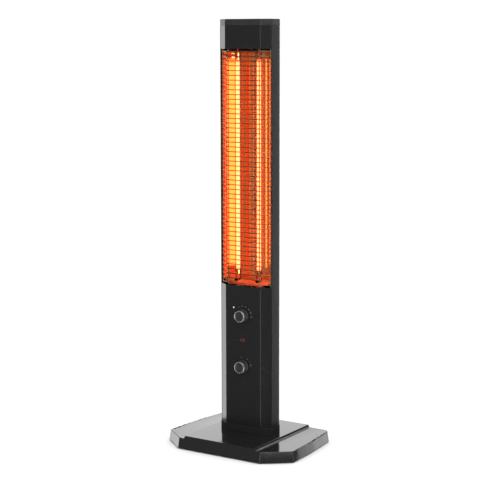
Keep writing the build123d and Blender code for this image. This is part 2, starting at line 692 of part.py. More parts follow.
# ---- wire guard ----
def guard_path(inset):
    """Corner points of a wire that follows the front and both corner faces."""
    points = column_points(inset, inset)
    (fx, fy), (sx, sy) = points[0], points[1]
    end_y = fy + (GUARD_END_X - fx) * (sy - fy) / (sx - fx)
    return [(-GUARD_END_X, end_y), (-fx, fy), (fx, fy), (GUARD_END_X, end_y)]


def guard_cross_wires():
    """Evenly spaced folded wires across the window."""
    pitch = (WINDOW_TOP - WINDOW_BOTTOM) / WIRE_COUNT
    points = [(x, y, 0) for x, y in guard_path(WIRE_INSET + CROSS_WIRE_RADIUS)]
    path = FilletPolyline(*points, radius=WIRE_BEND)
    start = Plane(origin=path @ 0, z_dir=path % 0)
    wire = sweep(start * Circle(CROSS_WIRE_RADIUS), path=path)
    return group(Pos(0, 0, WINDOW_BOTTOM + pitch * (n + 0.5)) * wire for n in range(WIRE_COUNT))


def guard_upright_wires():
    """Wires welded behind the cross wires at both folds and both ends."""
    (ex, ey), (fx, fy) = guard_path(UPRIGHT_INSET)[3], guard_path(UPRIGHT_INSET)[2]
    step = 2 * UPRIGHT_WIRE_RADIUS / hypot(ex - fx, ey - fy)
    near_x, near_y = ex + (fx - ex) * step, ey + (fy - ey) * step
    places = [(sx * x, y) for sx in (-1, 1) for x, y in ((near_x, near_y), (fx - FOLD_WIRE_SETBACK, fy))]
    z = (WINDOW_BOTTOM - GUARD_TUCK, WINDOW_TOP + GUARD_TUCK)
    return group(post(x, y, z, UPRIGHT_WIRE_RADIUS) for x, y in places)


# ---- controls ----
def control_body(height, depth):
    """Switch or regulator case behind the panel, with its threaded bushing and rear tabs."""
    half = CONTROL_WIDTH / 2
    y = (PANEL_BACK_Y, PANEL_BACK_Y + depth)
    body = block((-half, half), y, (height - half, height + half))
    body = fillet(body.edges().filter_by(Axis.Y), CONTROL_CORNER)
    body += spindle(0, height, (COLUMN_FRONT_Y - BUSHING_REACH, PANEL_BACK_Y), BUSHING_RADIUS)
    bore = (COLUMN_FRONT_Y - BUSHING_REACH - OVERCUT, PANEL_BACK_Y + SHAFT_IN_BODY + TOUCH)
    body -= spindle(0, height, bore, SHAFT_RADIUS + SHAFT_FIT)
    for n in (-1, 0, 1):
        x = n * TERMINAL_PITCH
        tab = (x - TAB_SHEET / 2, x + TAB_SHEET / 2)
        body += block(tab, (y[1] - OVERCUT, y[1] + TAB_LENGTH),
                      (height - TAB_WIDTH / 2, height + TAB_WIDTH / 2))
    return body


def control_nut(height):
    """Hexagon nut on the bushing, hidden by the knob."""
    nut = Pos(0, COLUMN_FRONT_Y, height) * Rot(90, 0, 0) * extrude(
        RegularPolygon(NUT_FLATS / 2, 6, major_radius=False), amount=NUT_THICKNESS)
    hole = overcut((COLUMN_FRONT_Y - NUT_THICKNESS, COLUMN_FRONT_Y))
    return nut - spindle(0, height, hole, BUSHING_RADIUS + TOUCH)


def control_shaft(height):
    """Shaft with a flat where the knob grips it."""
    tip = COLUMN_FRONT_Y - KNOB_LENGTH + KNOB_FACE_DISH + SHAFT_TIP_GAP
    shaft = spindle(0, height, (tip, PANEL_BACK_Y + SHAFT_IN_BODY), SHAFT_RADIUS)
    grip = COLUMN_FRONT_Y - BUSHING_REACH - OVERCUT
    flat = (height + SHAFT_RADIUS * SHAFT_FLAT_SHARE, height + SHAFT_RADIUS + OVERCUT)
    return shaft - block(overcut((-SHAFT_RADIUS, SHAFT_RADIUS)), (tip - OVERCUT, grip), flat)


def pointer_block(height, angle, radii, y, width):
    """Radial bar at a clock angle, seen from the front."""
    turn = radians(angle)
    reach = (radii[0] + radii[1]) / 2
    place = Pos(reach * sin(turn), (y[0] + y[1]) / 2, height + reach * cos(turn))
    return place * Rot(0, angle, 0) * Box(width, y[1] - y[0], radii[1] - radii[0])


def control_knob(height, angle):
    """Knob with a skirt, a seat for its ring, a dished face and a raised pointer."""
    front = COLUMN_FRONT_Y - KNOB_LENGTH
    back = COLUMN_FRONT_Y - KNOB_GAP
    core = KNOB_RING_RADIUS - KNOB_RING_WALL
    seat = front + KNOB_RING_SETBACK + KNOB_RING_LENGTH
    knob = spindle(0, height, (seat, back), KNOB_RADIUS)
    knob += spindle(0, height, (front, seat), core)
    knob += spindle(0, height, (back - KNOB_SKIRT, back), KNOB_SKIRT_RADIUS)
    knob -= spindle(0, height, (front - OVERCUT, front + KNOB_FACE_DISH), core - KNOB_FACE_RIM)
    bar = (front + KNOB_POINTER_SINK, front + KNOB_POINTER_DEPTH)
    knob += pointer_block(height, angle, (0, core - KNOB_POINTER_GAP), bar, KNOB_POINTER)
    knob -= spindle(0, height, (back - KNOB_POCKET, back + OVERCUT), KNOB_POCKET_RADIUS)
    hub = spindle(0, height, (front + KNOB_FACE_DISH + KNOB_FACE_WALL, back), SHAFT_RADIUS)
    return knob - (hub & control_shaft(height))


def knob_ring(height, angle):
    """Bright ring round the knob's face, with a notch in line with the pointer."""
    front = COLUMN_FRONT_Y - KNOB_LENGTH
    y = (front + KNOB_RING_SETBACK, front + KNOB_RING_SETBACK + KNOB_RING_LENGTH)
    ring = spindle(0, height, y, KNOB_RING_RADIUS)
    ring = chamfer(ring.edges().group_by(Axis.Y)[0], KNOB_RING_BEVEL)
    inner = KNOB_RING_RADIUS - KNOB_RING_WALL
    ring -= spindle(0, height, overcut(y), inner)
    notch = (y[0] - OVERCUT, y[0] + KNOB_RING_NOTCH)
    return ring - pointer_block(height, angle, overcut((inner, KNOB_RING_RADIUS)), notch, KNOB_POINTER)


def pilot_lamp_lens():
    """Domed red lens with a stem through the panel."""
    y = COLUMN_FRONT_Y
    lens = spindle(0, PILOT_HEIGHT, (y - LENS_PROUD, y), LENS_RADIUS)
    lens = fillet(lens.edges().group_by(Axis.Y)[0], LENS_DOME)
    lens += spindle(0, PILOT_HEIGHT, (y - LENS_FLANGE_SHEET, y), LENS_FLANGE)
    return lens + spindle(0, PILOT_HEIGHT, (y - LENS_FLANGE_SHEET, PANEL_BACK_Y + LENS_STEM), PILOT_RADIUS)


def pilot_lamp_body():
    """Neon lamp case behind the lens, with two tabs."""
    y = PANEL_BACK_Y + LENS_STEM
    body = spindle(0, PILOT_HEIGHT, (y, y + PILOT_DEPTH), PILOT_RADIUS + PILOT_WALL)
    reach = (y + PILOT_DEPTH - OVERCUT, y + PILOT_DEPTH + PILOT_TAB_LENGTH)
    inner = PILOT_TAB_SPACING / 2
    for side in (-1, 1):
        tab = sorted((side * inner, side * (inner + TAB_SHEET)))
        body += block(tab, reach, (PILOT_HEIGHT - TAB_WIDTH / 4, PILOT_HEIGHT + TAB_WIDTH / 4))
    return body


# ---- terminals, inlet and wires ----
def terminal_block():
    """Three-way block on the rear wall with screw wells and wire holes."""
    half = BLOCK_WIDTH / 2
    y = (REAR_WALL_Y - BLOCK_DEPTH, REAR_WALL_Y)
    z = (TERMINAL_HEIGHT - BLOCK_HEIGHT / 2, TERMINAL_HEIGHT + BLOCK_HEIGHT / 2)
    body = block((-half, half), y, z)
    for n in (-1, 0, 1):
        x = n * BLOCK_PITCH
        well = (y[0] - OVERCUT, y[0] + BLOCK_WELL_DEPTH)
        body -= spindle(x, TERMINAL_HEIGHT, well, BLOCK_WELL_RADIUS)
        body -= post(x, y[0] + BLOCK_WIRE_SETBACK, overcut(z), LEAD_TUBE_RADIUS + TOUCH)
    return body


def cord_bush():
    """Rubber inlet in the rear wall with a flange on each face."""
    inner, outer = REAR_WALL_Y, COLUMN_REAR_Y
    bush = spindle(0, CORD_HEIGHT, (inner - BUSH_FLANGE, outer + BUSH_FLANGE), BUSH_NECK_RADIUS)
    bush += spindle(0, CORD_HEIGHT, (inner - BUSH_FLANGE, inner), BUSH_FLANGE_RADIUS)
    bush += spindle(0, CORD_HEIGHT, (outer, outer + BUSH_FLANGE), BUSH_FLANGE_RADIUS)
    through = overcut((inner - BUSH_FLANGE, outer + BUSH_FLANGE))
    return bush - spindle(0, CORD_HEIGHT, through, CORD_HOLE_RADIUS)


def lead(points, radius=LEAD_TUBE_RADIUS):
    """Insulated wire along straight runs joined by arcs."""
    runs = [Vector(*b) - Vector(*a) for a, b in zip(points, points[1:])]
    bends = []
    for first, second in zip(runs, runs[1:]):
        turn = radians(first.get_angle(second))
        reach = LEAD_BEND_SHARE * min(first.length, second.length)
        bends.append(reach * cos(turn / 2) / sin(turn / 2))
    path = FilletPolyline(*points, radius=bends) if bends else Line(*points)
    return sweep(Plane(origin=path @ 0, z_dir=path % 0) * Circle(radius), path=path)


def lamp_leads():
    """Short wires from the lower lamp ends down to the regulator's side of the shield."""
    shapes = []
    for sx in (-1, 1):
        x = sx * TUBE_X
        shapes.append(lead([(x, TUBE_Y, TUBE_LOW), (x, TUBE_Y, SHIELD_HEIGHT - LAMP_LEAD_DROP),
                            (x, TUBE_Y + LAMP_LEAD_SHIFT, REGULATOR_HEIGHT - LAMP_LEAD_SHIFT)]))
    return group(shapes)


def return_leads():
    """Wires from the upper lamp ends over the bracket and down behind the reflector."""
    shapes = []
    peak = UPPER_SHELF + RETURN_RISE
    for sx in (-1, 1):
        start = (sx * TUBE_X, TUBE_Y, TUBE_HIGH)
        over = (sx * TUBE_X, TUBE_Y, peak)
        down = (sx * RETURN_X, RETURN_Y, peak)
        end = (sx * RETURN_X, RETURN_Y, SHIELD_HEIGHT - RETURN_DROP)
        shapes.append(lead([start, over, down, end]))
    return group(shapes)


def control_leads():
    """Wires that rise from the terminal block towards the selector."""
    shapes = []
    top = TERMINAL_HEIGHT + BLOCK_HEIGHT / 2
    y = REAR_WALL_Y - BLOCK_DEPTH + BLOCK_WIRE_SETBACK
    for n in (-1, 0, 1):
        x = n * BLOCK_PITCH
        end = (x * CONTROL_LEAD_SPREAD, y + CONTROL_LEAD_SHIFT, top + CONTROL_LEAD_TOP)
        shapes.append(lead([(x, y, top - CONTROL_LEAD_SINK), (x, y, top + CONTROL_LEAD_RISE), end]))
    return group(shapes)


# ---- base ----
def base_plan(inset=0.0):
    """Plan of the base at floor level: cut front corners and gently bowed, tapering sides."""
    half, depth = BASE_WIDTH / 2 - inset, BASE_DEPTH / 2 - inset
    front = BASE_FRONT_FLAT / 2 - inset * FRONT_CUT_SHARE
    corner_y = -BASE_DEPTH / 2 + BASE_CORNER_Y + inset * FRONT_CUT_SHARE
    rear = BASE_REAR_WIDTH / 2 - inset
    middle = ((half + rear) / 2 + BASE_SIDE_BULGE, (corner_y + depth) / 2)
    edges = [Line((-front, -depth), (front, -depth))]
    edges.append(Line((front, -depth), (half, corner_y)))
    edges.append(ThreePointArc((half, corner_y), middle, (rear, depth)))
    edges.append(Line((rear, depth), (-rear, depth)))
    edges.append(ThreePointArc((-rear, depth), (-middle[0], middle[1]), (-half, corner_y)))
    edges.append(Line((-half, corner_y), (-front, -depth)))
    plan = make_face(edges)
    rear_corners = plan.vertices().group_by(Axis.Y)[-1]
    return fillet(rear_corners, BASE_REAR_RADIUS - inset)


def base_block(inset, low, drop):
    """Drafted solid with a raised centre section; inset and drop turn it into the hollow."""
    plan = Pos(0, 0, low) * base_plan(inset)
    wings = extrude(plan, amount=WING_TOP - drop - low, taper=BASE_DRAFT)
    centre = extrude(plan, amount=CENTRE_TOP - drop - low, taper=BASE_DRAFT)
    top = CENTRE_HALF_WIDTH - inset
    foot = top + CENTRE_STEP_SLANT
    step = Plane.XZ * Polygon((-foot, low), (foot, low), (foot, WING_TOP - drop), (top, CENTRE_TOP - drop),
                              (-top, CENTRE_TOP - drop), (-foot, WING_TOP - drop), align=None)
    centre &= extrude(step, amount=BASE_DEPTH, both=True)
    return wings + centre


def base_bosses(side):
    """Bosses under the top of one half for the feet, the tie plate and the column bolts."""
    shapes = []
    for x, y in FEET:
        if x * side > 0:
            shapes.append(post(x, y, (FOOT_THICKNESS, WING_TOP - BOSS_SINK), FOOT_RADIUS))
    for x, y in BASE_SCREWS:
        if x * side > 0:
            top = CENTRE_TOP if abs(x) < CENTRE_HALF_WIDTH else WING_TOP
            shapes.append(post(x, y, (TIE_PLATE_TOP, top - BOSS_SINK), BASE_BOSS_RADIUS))
    for x, y in COLUMN_BOLTS:
        if x * side > 0:
            shapes.append(post(x, y, (TIE_PLATE_TOP, CENTRE_TOP - BOSS_SINK), 3 * COLUMN_BOLT_RADIUS))
    return shapes


def base_half(side):
    """One moulded half: a shell with its seam wall at the middle and bosses inside."""
    shell = base_block(0, FOOT_LIFT, 0)
    tops = shell.faces().filter_by(Axis.Z).sort_by(Axis.Z)[1:]
    wing = CENTRE_HALF_WIDTH + CENTRE_STEP_SLANT + TOUCH
    shell = fillet([edge for face in tops for edge in face.edges() if abs(edge.center().X) > wing],
                   BASE_EDGE_RADIUS)
    hollow = base_block(BASE_WALL, FOOT_LIFT - OVERCUT, BASE_WALL)
    seam = BASE_SEAM / 2
    shell -= hollow - block((-BASE_WALL - seam, BASE_WALL + seam), (-BASE_DEPTH, BASE_DEPTH),
                            (TIE_PLATE_TOP, CENTRE_TOP))
    half = (seam, BASE_WIDTH) if side > 0 else (-BASE_WIDTH, -seam)
    shell &= block(half, (-BASE_DEPTH, BASE_DEPTH), (0, TOTAL_HEIGHT))
    for boss in base_bosses(side):
        shell += boss
    for x, y in FEET:
        shell -= post(x, y, (0, FOOT_THICKNESS + FOOT_STEM + FOOT_STEM_ROOM), FOOT_STEM_RADIUS + TOUCH)
    for x, y in BASE_SCREWS:
        shell -= post(x, y, (0, WING_TOP - BASE_WALL), SCREW_RADIUS + TOUCH)
    for x, y in COLUMN_BOLTS:
        shell -= post(x, y, (0, CENTRE_TOP + OVERCUT), COLUMN_BOLT_RADIUS + HOLE_GAP)
    return shell


def base_tie_plate():
    """Steel plate that joins the halves and weights the foot."""
    half_x, half_y = TIE_PLATE_WIDTH / 2, TIE_PLATE_DEPTH / 2
    z = (TIE_PLATE_LOW, TIE_PLATE_TOP)
    plate = block((-half_x, half_x), (-half_y, half_y), z)
    plate = chamfer(plate.edges().filter_by(Axis.Z), TIE_PLATE_CORNER)
    cut = overcut(z)
    for x, y in BASE_SCREWS:
        plate -= post(x, y, cut, SCREW_RADIUS + HOLE_GAP)
    for x, y in COLUMN_BOLTS:
        plate -= post(x, y, cut, COLUMN_BOLT_RADIUS + HOLE_GAP)
    return plate - post(SWITCH_X, SWITCH_Y, cut, PLUNGER_RADIUS + HOLE_GAP)


def base_screws():
    """Screws up through the tie plate into the halves' bosses."""
    return group(screw(x, y, TIE_PLATE_LOW, TIE_PLATE_TOP + BASE_SCREW_REACH) for x, y in BASE_SCREWS)


def column_bolts():
    """Bolts up through the tie plate and the base into the plinth."""
    return group(
        screw(x, y, TIE_PLATE_LOW, PLINTH_TOP - COLUMN_BOLT_SHORT, COLUMN_BOLT_RADIUS,
              2 * COLUMN_BOLT_RADIUS, COLUMN_BOLT_HEAD)
        for x, y in COLUMN_BOLTS)


def rubber_feet():
    """Four feet, each a disc with a stem pressed into its boss."""
    shapes = []
    for x, y in FEET:
        foot = post(x, y, (0, FOOT_THICKNESS), FOOT_RADIUS)
        foot = chamfer(foot.edges().group_by(Axis.Z)[0], FOOT_BEVEL)
        shapes.append(foot + post(x, y, (FOOT_THICKNESS, FOOT_THICKNESS + FOOT_STEM), FOOT_STEM_RADIUS))
    return group(shapes)


# ---- tip-over switch ----
def switch_levels():
    """Heights of the plunger's collar top at rest and of the bore's ceiling."""
    collar_low = TIE_PLATE_TOP + SWITCH_FLOOR + PLUNGER_TRAVEL
    return collar_low, TIE_PLATE_TOP + SWITCH_BODY_HEIGHT - SWITCH_CEILING


def tip_switch_body():
    """Case on the tie plate with a bore for the plunger's collar and spring."""
    half_x, half_y = SWITCH_BODY_X / 2, SWITCH_BODY_Y / 2
    z = (TIE_PLATE_TOP, TIE_PLATE_TOP + SWITCH_BODY_HEIGHT)
    body = block((SWITCH_X - half_x, SWITCH_X + half_x), (SWITCH_Y - half_y, SWITCH_Y + half_y), z)
    ceiling = switch_levels()[1]
    body -= post(SWITCH_X, SWITCH_Y, (z[0] + SWITCH_FLOOR, ceiling), PLUNGER_COLLAR_RADIUS + PLUNGER_FIT)
    return body - post(SWITCH_X, SWITCH_Y, (z[0] - OVERCUT, z[0] + 2), PLUNGER_RADIUS + PLUNGER_FIT)


def tip_switch_plunger():
    """Pin that stands on the floor, with a collar that the spring pushes down."""
    collar = switch_levels()[0]
    pin = post(SWITCH_X, SWITCH_Y, (0, collar + PLUNGER_COLLAR), PLUNGER_RADIUS)
    pin = fillet(pin.edges().group_by(Axis.Z)[0], PLUNGER_TIP_ROUND)
    return pin + post(SWITCH_X, SWITCH_Y, (collar, collar + PLUNGER_COLLAR), PLUNGER_COLLAR_RADIUS)


def tip_switch_spring():
    """Pressed spring between the collar and the ceiling of the bore."""
    low = switch_levels()[0] + PLUNGER_COLLAR + SPRING_WIRE
    height = switch_levels()[1] - SPRING_WIRE - low
    coil = Helix(pitch=height / SPRING_TURNS, height=height, radius=SPRING_RADIUS)
    wire = sweep(Plane(origin=coil @ 0, z_dir=coil % 0) * Circle(SPRING_WIRE), path=coil)
    return Pos(SWITCH_X, SWITCH_Y, low) * wire


def build():
    """Every node of the heater by name."""
    return {
        "column_housing": column_housing(),
        "top_front_panel": top_front_panel(),
        "control_panel": control_panel(),
        "column_plinth": column_plinth(),
        "top_cap": top_cap(),
        "cap_screws": cap_screws(),
        "plinth_screws": plinth_screws(),
        "reflector": reflector(),
        "reflector_top_plate": reflector_top_plate(),
        "reflector_bottom_plate": reflector_bottom_plate(),
        "quartz_tube_left": quartz_tube(LAMPS["left"]),
        "quartz_tube_right": quartz_tube(LAMPS["right"]),
        "carbon_filament_left": carbon_filament(LAMPS["left"]),
        "carbon_filament_right": carbon_filament(LAMPS["right"]),
        "ceramic_caps_upper": ceramic_caps(True),
        "ceramic_caps_lower": ceramic_caps(False),
        "lamp_clips_upper": lamp_clips(True),
        "lamp_clips_lower": lamp_clips(False),
        "lamp_bracket_upper": lamp_bracket(True),
        "lamp_bracket_lower": lamp_bracket(False),
        "bracket_screws": bracket_screws(),
        "heat_shield": heat_shield(),
        "thermal_cutout": thermal_cutout(),
        "guard_cross_wires": guard_cross_wires(),
        "guard_upright_wires": guard_upright_wires(),
        "regulator_body": control_body(REGULATOR_HEIGHT, REGULATOR_DEPTH),
        "regulator_nut": control_nut(REGULATOR_HEIGHT),
        "regulator_shaft": control_shaft(REGULATOR_HEIGHT),
        "regulator_knob": control_knob(REGULATOR_HEIGHT, REGULATOR_POINTER),
        "regulator_knob_ring": knob_ring(REGULATOR_HEIGHT, REGULATOR_POINTER),
        "selector_body": control_body(SELECTOR_HEIGHT, SELECTOR_DEPTH),
        "selector_nut": control_nut(SELECTOR_HEIGHT),
        "selector_shaft": control_shaft(SELECTOR_HEIGHT),
        "selector_knob": control_knob(SELECTOR_HEIGHT, SELECTOR_POINTER),
        "selector_knob_ring": knob_ring(SELECTOR_HEIGHT, SELECTOR_POINTER),
        "pilot_lamp_lens": pilot_lamp_lens(),
        "pilot_lamp_body": pilot_lamp_body(),
        "terminal_block": terminal_block(),
        "cord_bush": cord_bush(),
        "lamp_leads": lamp_leads(),
        "return_leads": return_leads(),
        "control_leads": control_leads(),
        "base_left_half": base_half(-1),
        "base_right_half": base_half(1),
        "base_tie_plate": base_tie_plate(),
        "base_screws": base_screws(),
        "column_bolts": column_bolts(),
        "rubber_feet": rubber_feet(),
        "tip_switch_body": tip_switch_body(),
        "tip_switch_plunger": tip_switch_plunger(),
        "tip_switch_spring": tip_switch_spring(),
    }


os.makedirs("parts", exist_ok=True)
for node, shape in build().items():
    export_step(shape, f"parts/{node}.step")
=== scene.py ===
"""Looks of a free-standing tower heater: shells, heating chamber, guard, controls and foot."""
import logging
import math
from dataclasses import dataclass
from enum import Enum
from typing import Iterable, Optional, Sequence, Union

import bmesh
import bpy
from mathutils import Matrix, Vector


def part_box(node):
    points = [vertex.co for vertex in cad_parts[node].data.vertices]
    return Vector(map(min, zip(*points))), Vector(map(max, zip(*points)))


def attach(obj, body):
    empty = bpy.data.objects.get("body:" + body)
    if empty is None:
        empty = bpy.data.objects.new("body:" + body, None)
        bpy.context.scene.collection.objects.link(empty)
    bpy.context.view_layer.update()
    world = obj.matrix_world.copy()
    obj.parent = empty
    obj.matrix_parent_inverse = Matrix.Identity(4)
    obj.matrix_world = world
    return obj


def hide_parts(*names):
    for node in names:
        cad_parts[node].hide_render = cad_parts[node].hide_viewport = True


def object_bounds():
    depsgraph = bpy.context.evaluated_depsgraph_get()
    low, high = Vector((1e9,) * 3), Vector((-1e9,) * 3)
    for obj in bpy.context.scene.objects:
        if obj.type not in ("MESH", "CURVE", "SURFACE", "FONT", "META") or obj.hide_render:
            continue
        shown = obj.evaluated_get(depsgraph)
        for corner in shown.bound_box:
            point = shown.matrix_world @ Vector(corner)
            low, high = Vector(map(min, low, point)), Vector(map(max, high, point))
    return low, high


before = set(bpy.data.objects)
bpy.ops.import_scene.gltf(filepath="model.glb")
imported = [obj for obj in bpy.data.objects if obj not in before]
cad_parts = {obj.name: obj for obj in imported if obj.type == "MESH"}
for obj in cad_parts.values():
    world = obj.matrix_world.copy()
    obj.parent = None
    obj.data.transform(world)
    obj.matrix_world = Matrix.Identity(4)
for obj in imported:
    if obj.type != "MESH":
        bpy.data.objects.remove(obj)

CAD_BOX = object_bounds()
MM = 0.001
MERGE_DISTANCE = 0.002 * MM
FLAT_ANGLE = 0.6
WIDEST_FOLD = 181.0
SHELL_SMOOTH = 35.0
TINY = 1e-6
log = logging.getLogger("heater")

Point = Sequence[float]
Colour = tuple[float, float, float]
Line = list[tuple[float, float]]
Mesh = tuple[list[Vector], list[tuple[int, ...]]]
Input = Union[float, Sequence[float], "Value", "Tint"]


class Body(Enum):
    """Rigid bodies that the new pieces ride on."""

    HEATER = "heater"
    REGULATOR = "regulator"
    SELECTOR = "selector"


# ---------------------------------------------------------------- shader expressions


class Graph:
    """Node tree of one material, with a single way to add a node."""

    def __init__(self, name: str) -> None:
        """Starts an empty tree.

        Args:
            name: the material's name.
        """
        self.material = bpy.data.materials.new(name)
        self.material.use_nodes = True
        self.tree = self.material.node_tree
        self.tree.nodes.clear()

    @classmethod
    def of_tree(cls, tree: bpy.types.NodeTree) -> "Graph":
        """Wraps a tree that already exists, such as the world's, and empties it.

        Args:
            tree: the tree.

        Returns:
            The graph round it.
        """
        graph = cls.__new__(cls)
        graph.tree = tree
        tree.nodes.clear()
        return graph

    def feed(self, socket: bpy.types.NodeSocket, value: Input) -> None:
        """Links or sets one input.

        Args:
            socket: the input socket.
            value: a wrapped socket to link, or a constant to set.
        """
        if isinstance(value, (Value, Tint)):
            self.tree.links.new(value.socket, socket)
        elif hasattr(socket.default_value, "__len__") and not hasattr(value, "__len__"):
            socket.default_value = [value] * len(socket.default_value)
        elif hasattr(value, "__len__") and len(value) == 3 and len(socket.default_value) == 4:
            socket.default_value = (*value, 1.0)
        else:
            socket.default_value = value

    def node(self, kind: str, settings: Optional[dict] = None,
             inputs: Optional[dict] = None) -> bpy.types.Node:
        """Adds a node.

        Args:
            kind: the node's type name, such as ShaderNodeMath.
            settings: attributes that are set before the inputs.
            inputs: values or wrapped sockets by input name or number.

        Returns:
            The new node.
        """
        made = self.tree.nodes.new(kind)
        for key, value in (settings or {}).items():
            setattr(made, key, value)
        for key, value in (inputs or {}).items():
            self.feed(made.inputs[key], value)
        return made

    def value(self, kind: str, settings: Optional[dict], inputs: dict,
              output: Union[str, int] = 0) -> "Value":
        """Adds a node and wraps one of its number outputs."""
        return Value(self, self.node(kind, settings, inputs).outputs[output])

    def tint(self, kind: str, settings: Optional[dict], inputs: dict,
             output: Union[str, int] = 0) -> "Tint":
        """Adds a node and wraps one of its colour or vector outputs."""
        return Tint(self, self.node(kind, settings, inputs).outputs[output])

    def place(self) -> "Tint":
        """Position on the object, in metres."""
        return self.tint("ShaderNodeTexCoord", None, {}, "Object")

    def axis(self, name: str) -> "Value":
        """One coordinate of the position on the object.

        Args:
            name: X, Y or Z.

        Returns:
            That coordinate in metres.
        """
        return self.value("ShaderNodeSeparateXYZ", None, {"Vector": self.place()}, name)

    def noise(self, size: float, detail: float = 3.0, stretch: Point = (1, 1, 1),
              rough: float = 0.5) -> "Value":
        """Fractal noise.

        Args:
            size: width of its largest features, in metres.
            detail: number of octaves.
            stretch: factor by which each axis is packed closer.
            rough: weight of the finer octaves.

        Returns:
            Noise from 0 to 1 with a mean near a half.
        """
        spot = self.place() * stretch
        return self.value("ShaderNodeTexNoise", None,
                          {"Vector": spot, "Scale": 1 / size, "Detail": detail, "Roughness": rough}, "Fac")

    def speckle(self, size: float, stretch: Point = (1, 1, 1)) -> "Value":
        """Distance to the nearest of scattered points, 0 at a point.

        Args:
            size: mean spacing of the points, in metres.
            stretch: factor by which each axis is packed closer.

        Returns:
            The distance as a share of the spacing.
        """
        spot = self.place() * stretch
        return self.value("ShaderNodeTexVoronoi", None, {"Vector": spot, "Scale": 1 / size}, "Distance")

    def bump(self, height: "Value", depth: float) -> "Tint":
        """Turns a height from 0 to 1 into a normal; depth is the real height of 1, in metres."""
        return self.tint("ShaderNodeBump", None,
                         {"Height": height, "Distance": depth, "Strength": 1.0}, "Normal")

    def finish(self, shader: bpy.types.Node) -> bpy.types.Material:
        """Connects the final shader.

        Args:
            shader: node whose first output is the surface.

        Returns:
            The finished material.
        """
        out = self.node("ShaderNodeOutputMaterial")
        self.tree.links.new(shader.outputs[0], out.inputs["Surface"])
        return self.material


class Value:
    """A number socket that takes Python arithmetic."""

    def __init__(self, graph: Graph, socket: bpy.types.NodeSocket) -> None:
        """Wraps a socket of a graph."""
        self.graph = graph
        self.socket = socket

    def _math(self, operation: str, *values: Input) -> "Value":
        """Adds a Math node on the given values."""
        return self.graph.value("ShaderNodeMath", {"operation": operation}, dict(enumerate(values)))

    def __add__(self, other: Input) -> "Value":
        """self + other."""
        return self._math("ADD", self, other)

    def __sub__(self, other: Input) -> "Value":
        """self - other."""
        return self._math("SUBTRACT", self, other)

    def __mul__(self, other: Input) -> "Value":
        """self * other."""
        return self._math("MULTIPLY", self, other)

    def __truediv__(self, other: Input) -> "Value":
        """self / other."""
        return self._math("DIVIDE", self, other)

    def __pow__(self, other: Input) -> "Value":
        """self ** other."""
        return self._math("POWER", self, other)

    __radd__ = __add__
    __rmul__ = __mul__

    def __rsub__(self, other: Input) -> "Value":
        """other - self."""
        return self._math("SUBTRACT", other, self)

    def __rtruediv__(self, other: Input) -> "Value":
        """other / self."""
        return self._math("DIVIDE", other, self)

    def __rpow__(self, other: Input) -> "Value":
        """other ** self."""
        return self._math("POWER", other, self)

    def ramp(self, low: float, high: float, start: float = 0.0, end: float = 1.0) -> "Value":
        """Smooth step between two values.

        Args:
            low: value where the result leaves start.
            high: value where the result reaches end.
            start: result below low.
            end: result above high.

        Returns:
            The step.
        """
        return self.graph.value("ShaderNodeMapRange", {"interpolation_type": "SMOOTHSTEP"},
                                {"Value": self, "From Min": low, "From Max": high,
                                 "To Min": start, "To Max": end})

    def between(self, first: Input, second: Input) -> "Tint":
        """Mixes two colours by this value; a Mix node's colour sockets go by number.

        Args:
            first: colour where this value is 0.
            second: colour where it is 1.

        Returns:
            The mixed colour.
        """
        return self.graph.tint("ShaderNodeMix", {"data_type": "RGBA"},
                               {"Factor": self, 6: first, 7: second}, 2)


class Tint:
    """A colour or vector socket that takes Python arithmetic."""

    def __init__(self, graph: Graph, socket: bpy.types.NodeSocket) -> None:
        """Wraps a socket of a graph."""
        self.graph = graph
        self.socket = socket

    def _vector(self, operation: str, first: Input, second: Input) -> "Tint":
        """Adds a Vector Math node on two values."""
        return self.graph.tint("ShaderNodeVectorMath", {"operation": operation}, {0: first, 1: second})

    def __mul__(self, other: Input) -> "Tint":
        """self * other."""
        return self._vector("MULTIPLY", self, other)

    def __rmul__(self, other: Input) -> "Tint":
        """other * self."""
        return self._vector("MULTIPLY", other, self)


# ---------------------------------------------------------------- finishes

MADE: dict["Finish", bpy.types.Material] = {}


@dataclass(frozen=True)
class Finish:
    """A plain dielectric finish that the others refine."""

    name: str
    slot: str
    colour: Colour = (0.5, 0.5, 0.5)
    roughness: float = 0.5
    metallic: float = 0.0
    specular: float = 0.5
    coat: float = 0.0
    coat_roughness: float = 0.05

    def channels(self, graph: Graph) -> dict:
        """Inputs of the surface shader that change over the surface."""
        return {"Base Color": self.colour, "Roughness": self.roughness}

    def shader(self, graph: Graph) -> bpy.types.Node:
        """Builds the surface shader.

        Args:
            graph: the material's node tree.

        Returns:
            The node whose first output is the surface.
        """
        inputs = {"Metallic": self.metallic, "Specular IOR Level": self.specular,
                  "Coat Weight": self.coat, "Coat Roughness": self.coat_roughness}
        inputs.update(self.channels(graph))
        return graph.node("ShaderNodeBsdfPrincipled", None, inputs)

    def material(self) -> bpy.types.Material:
        """Builds the material once and gives it again on later calls.

        Returns:
            The Blender material.
        """
        if self not in MADE:
            graph = Graph(f"{self.name}_finish")
            MADE[self] = graph.finish(self.shader(graph))
        return MADE[self]


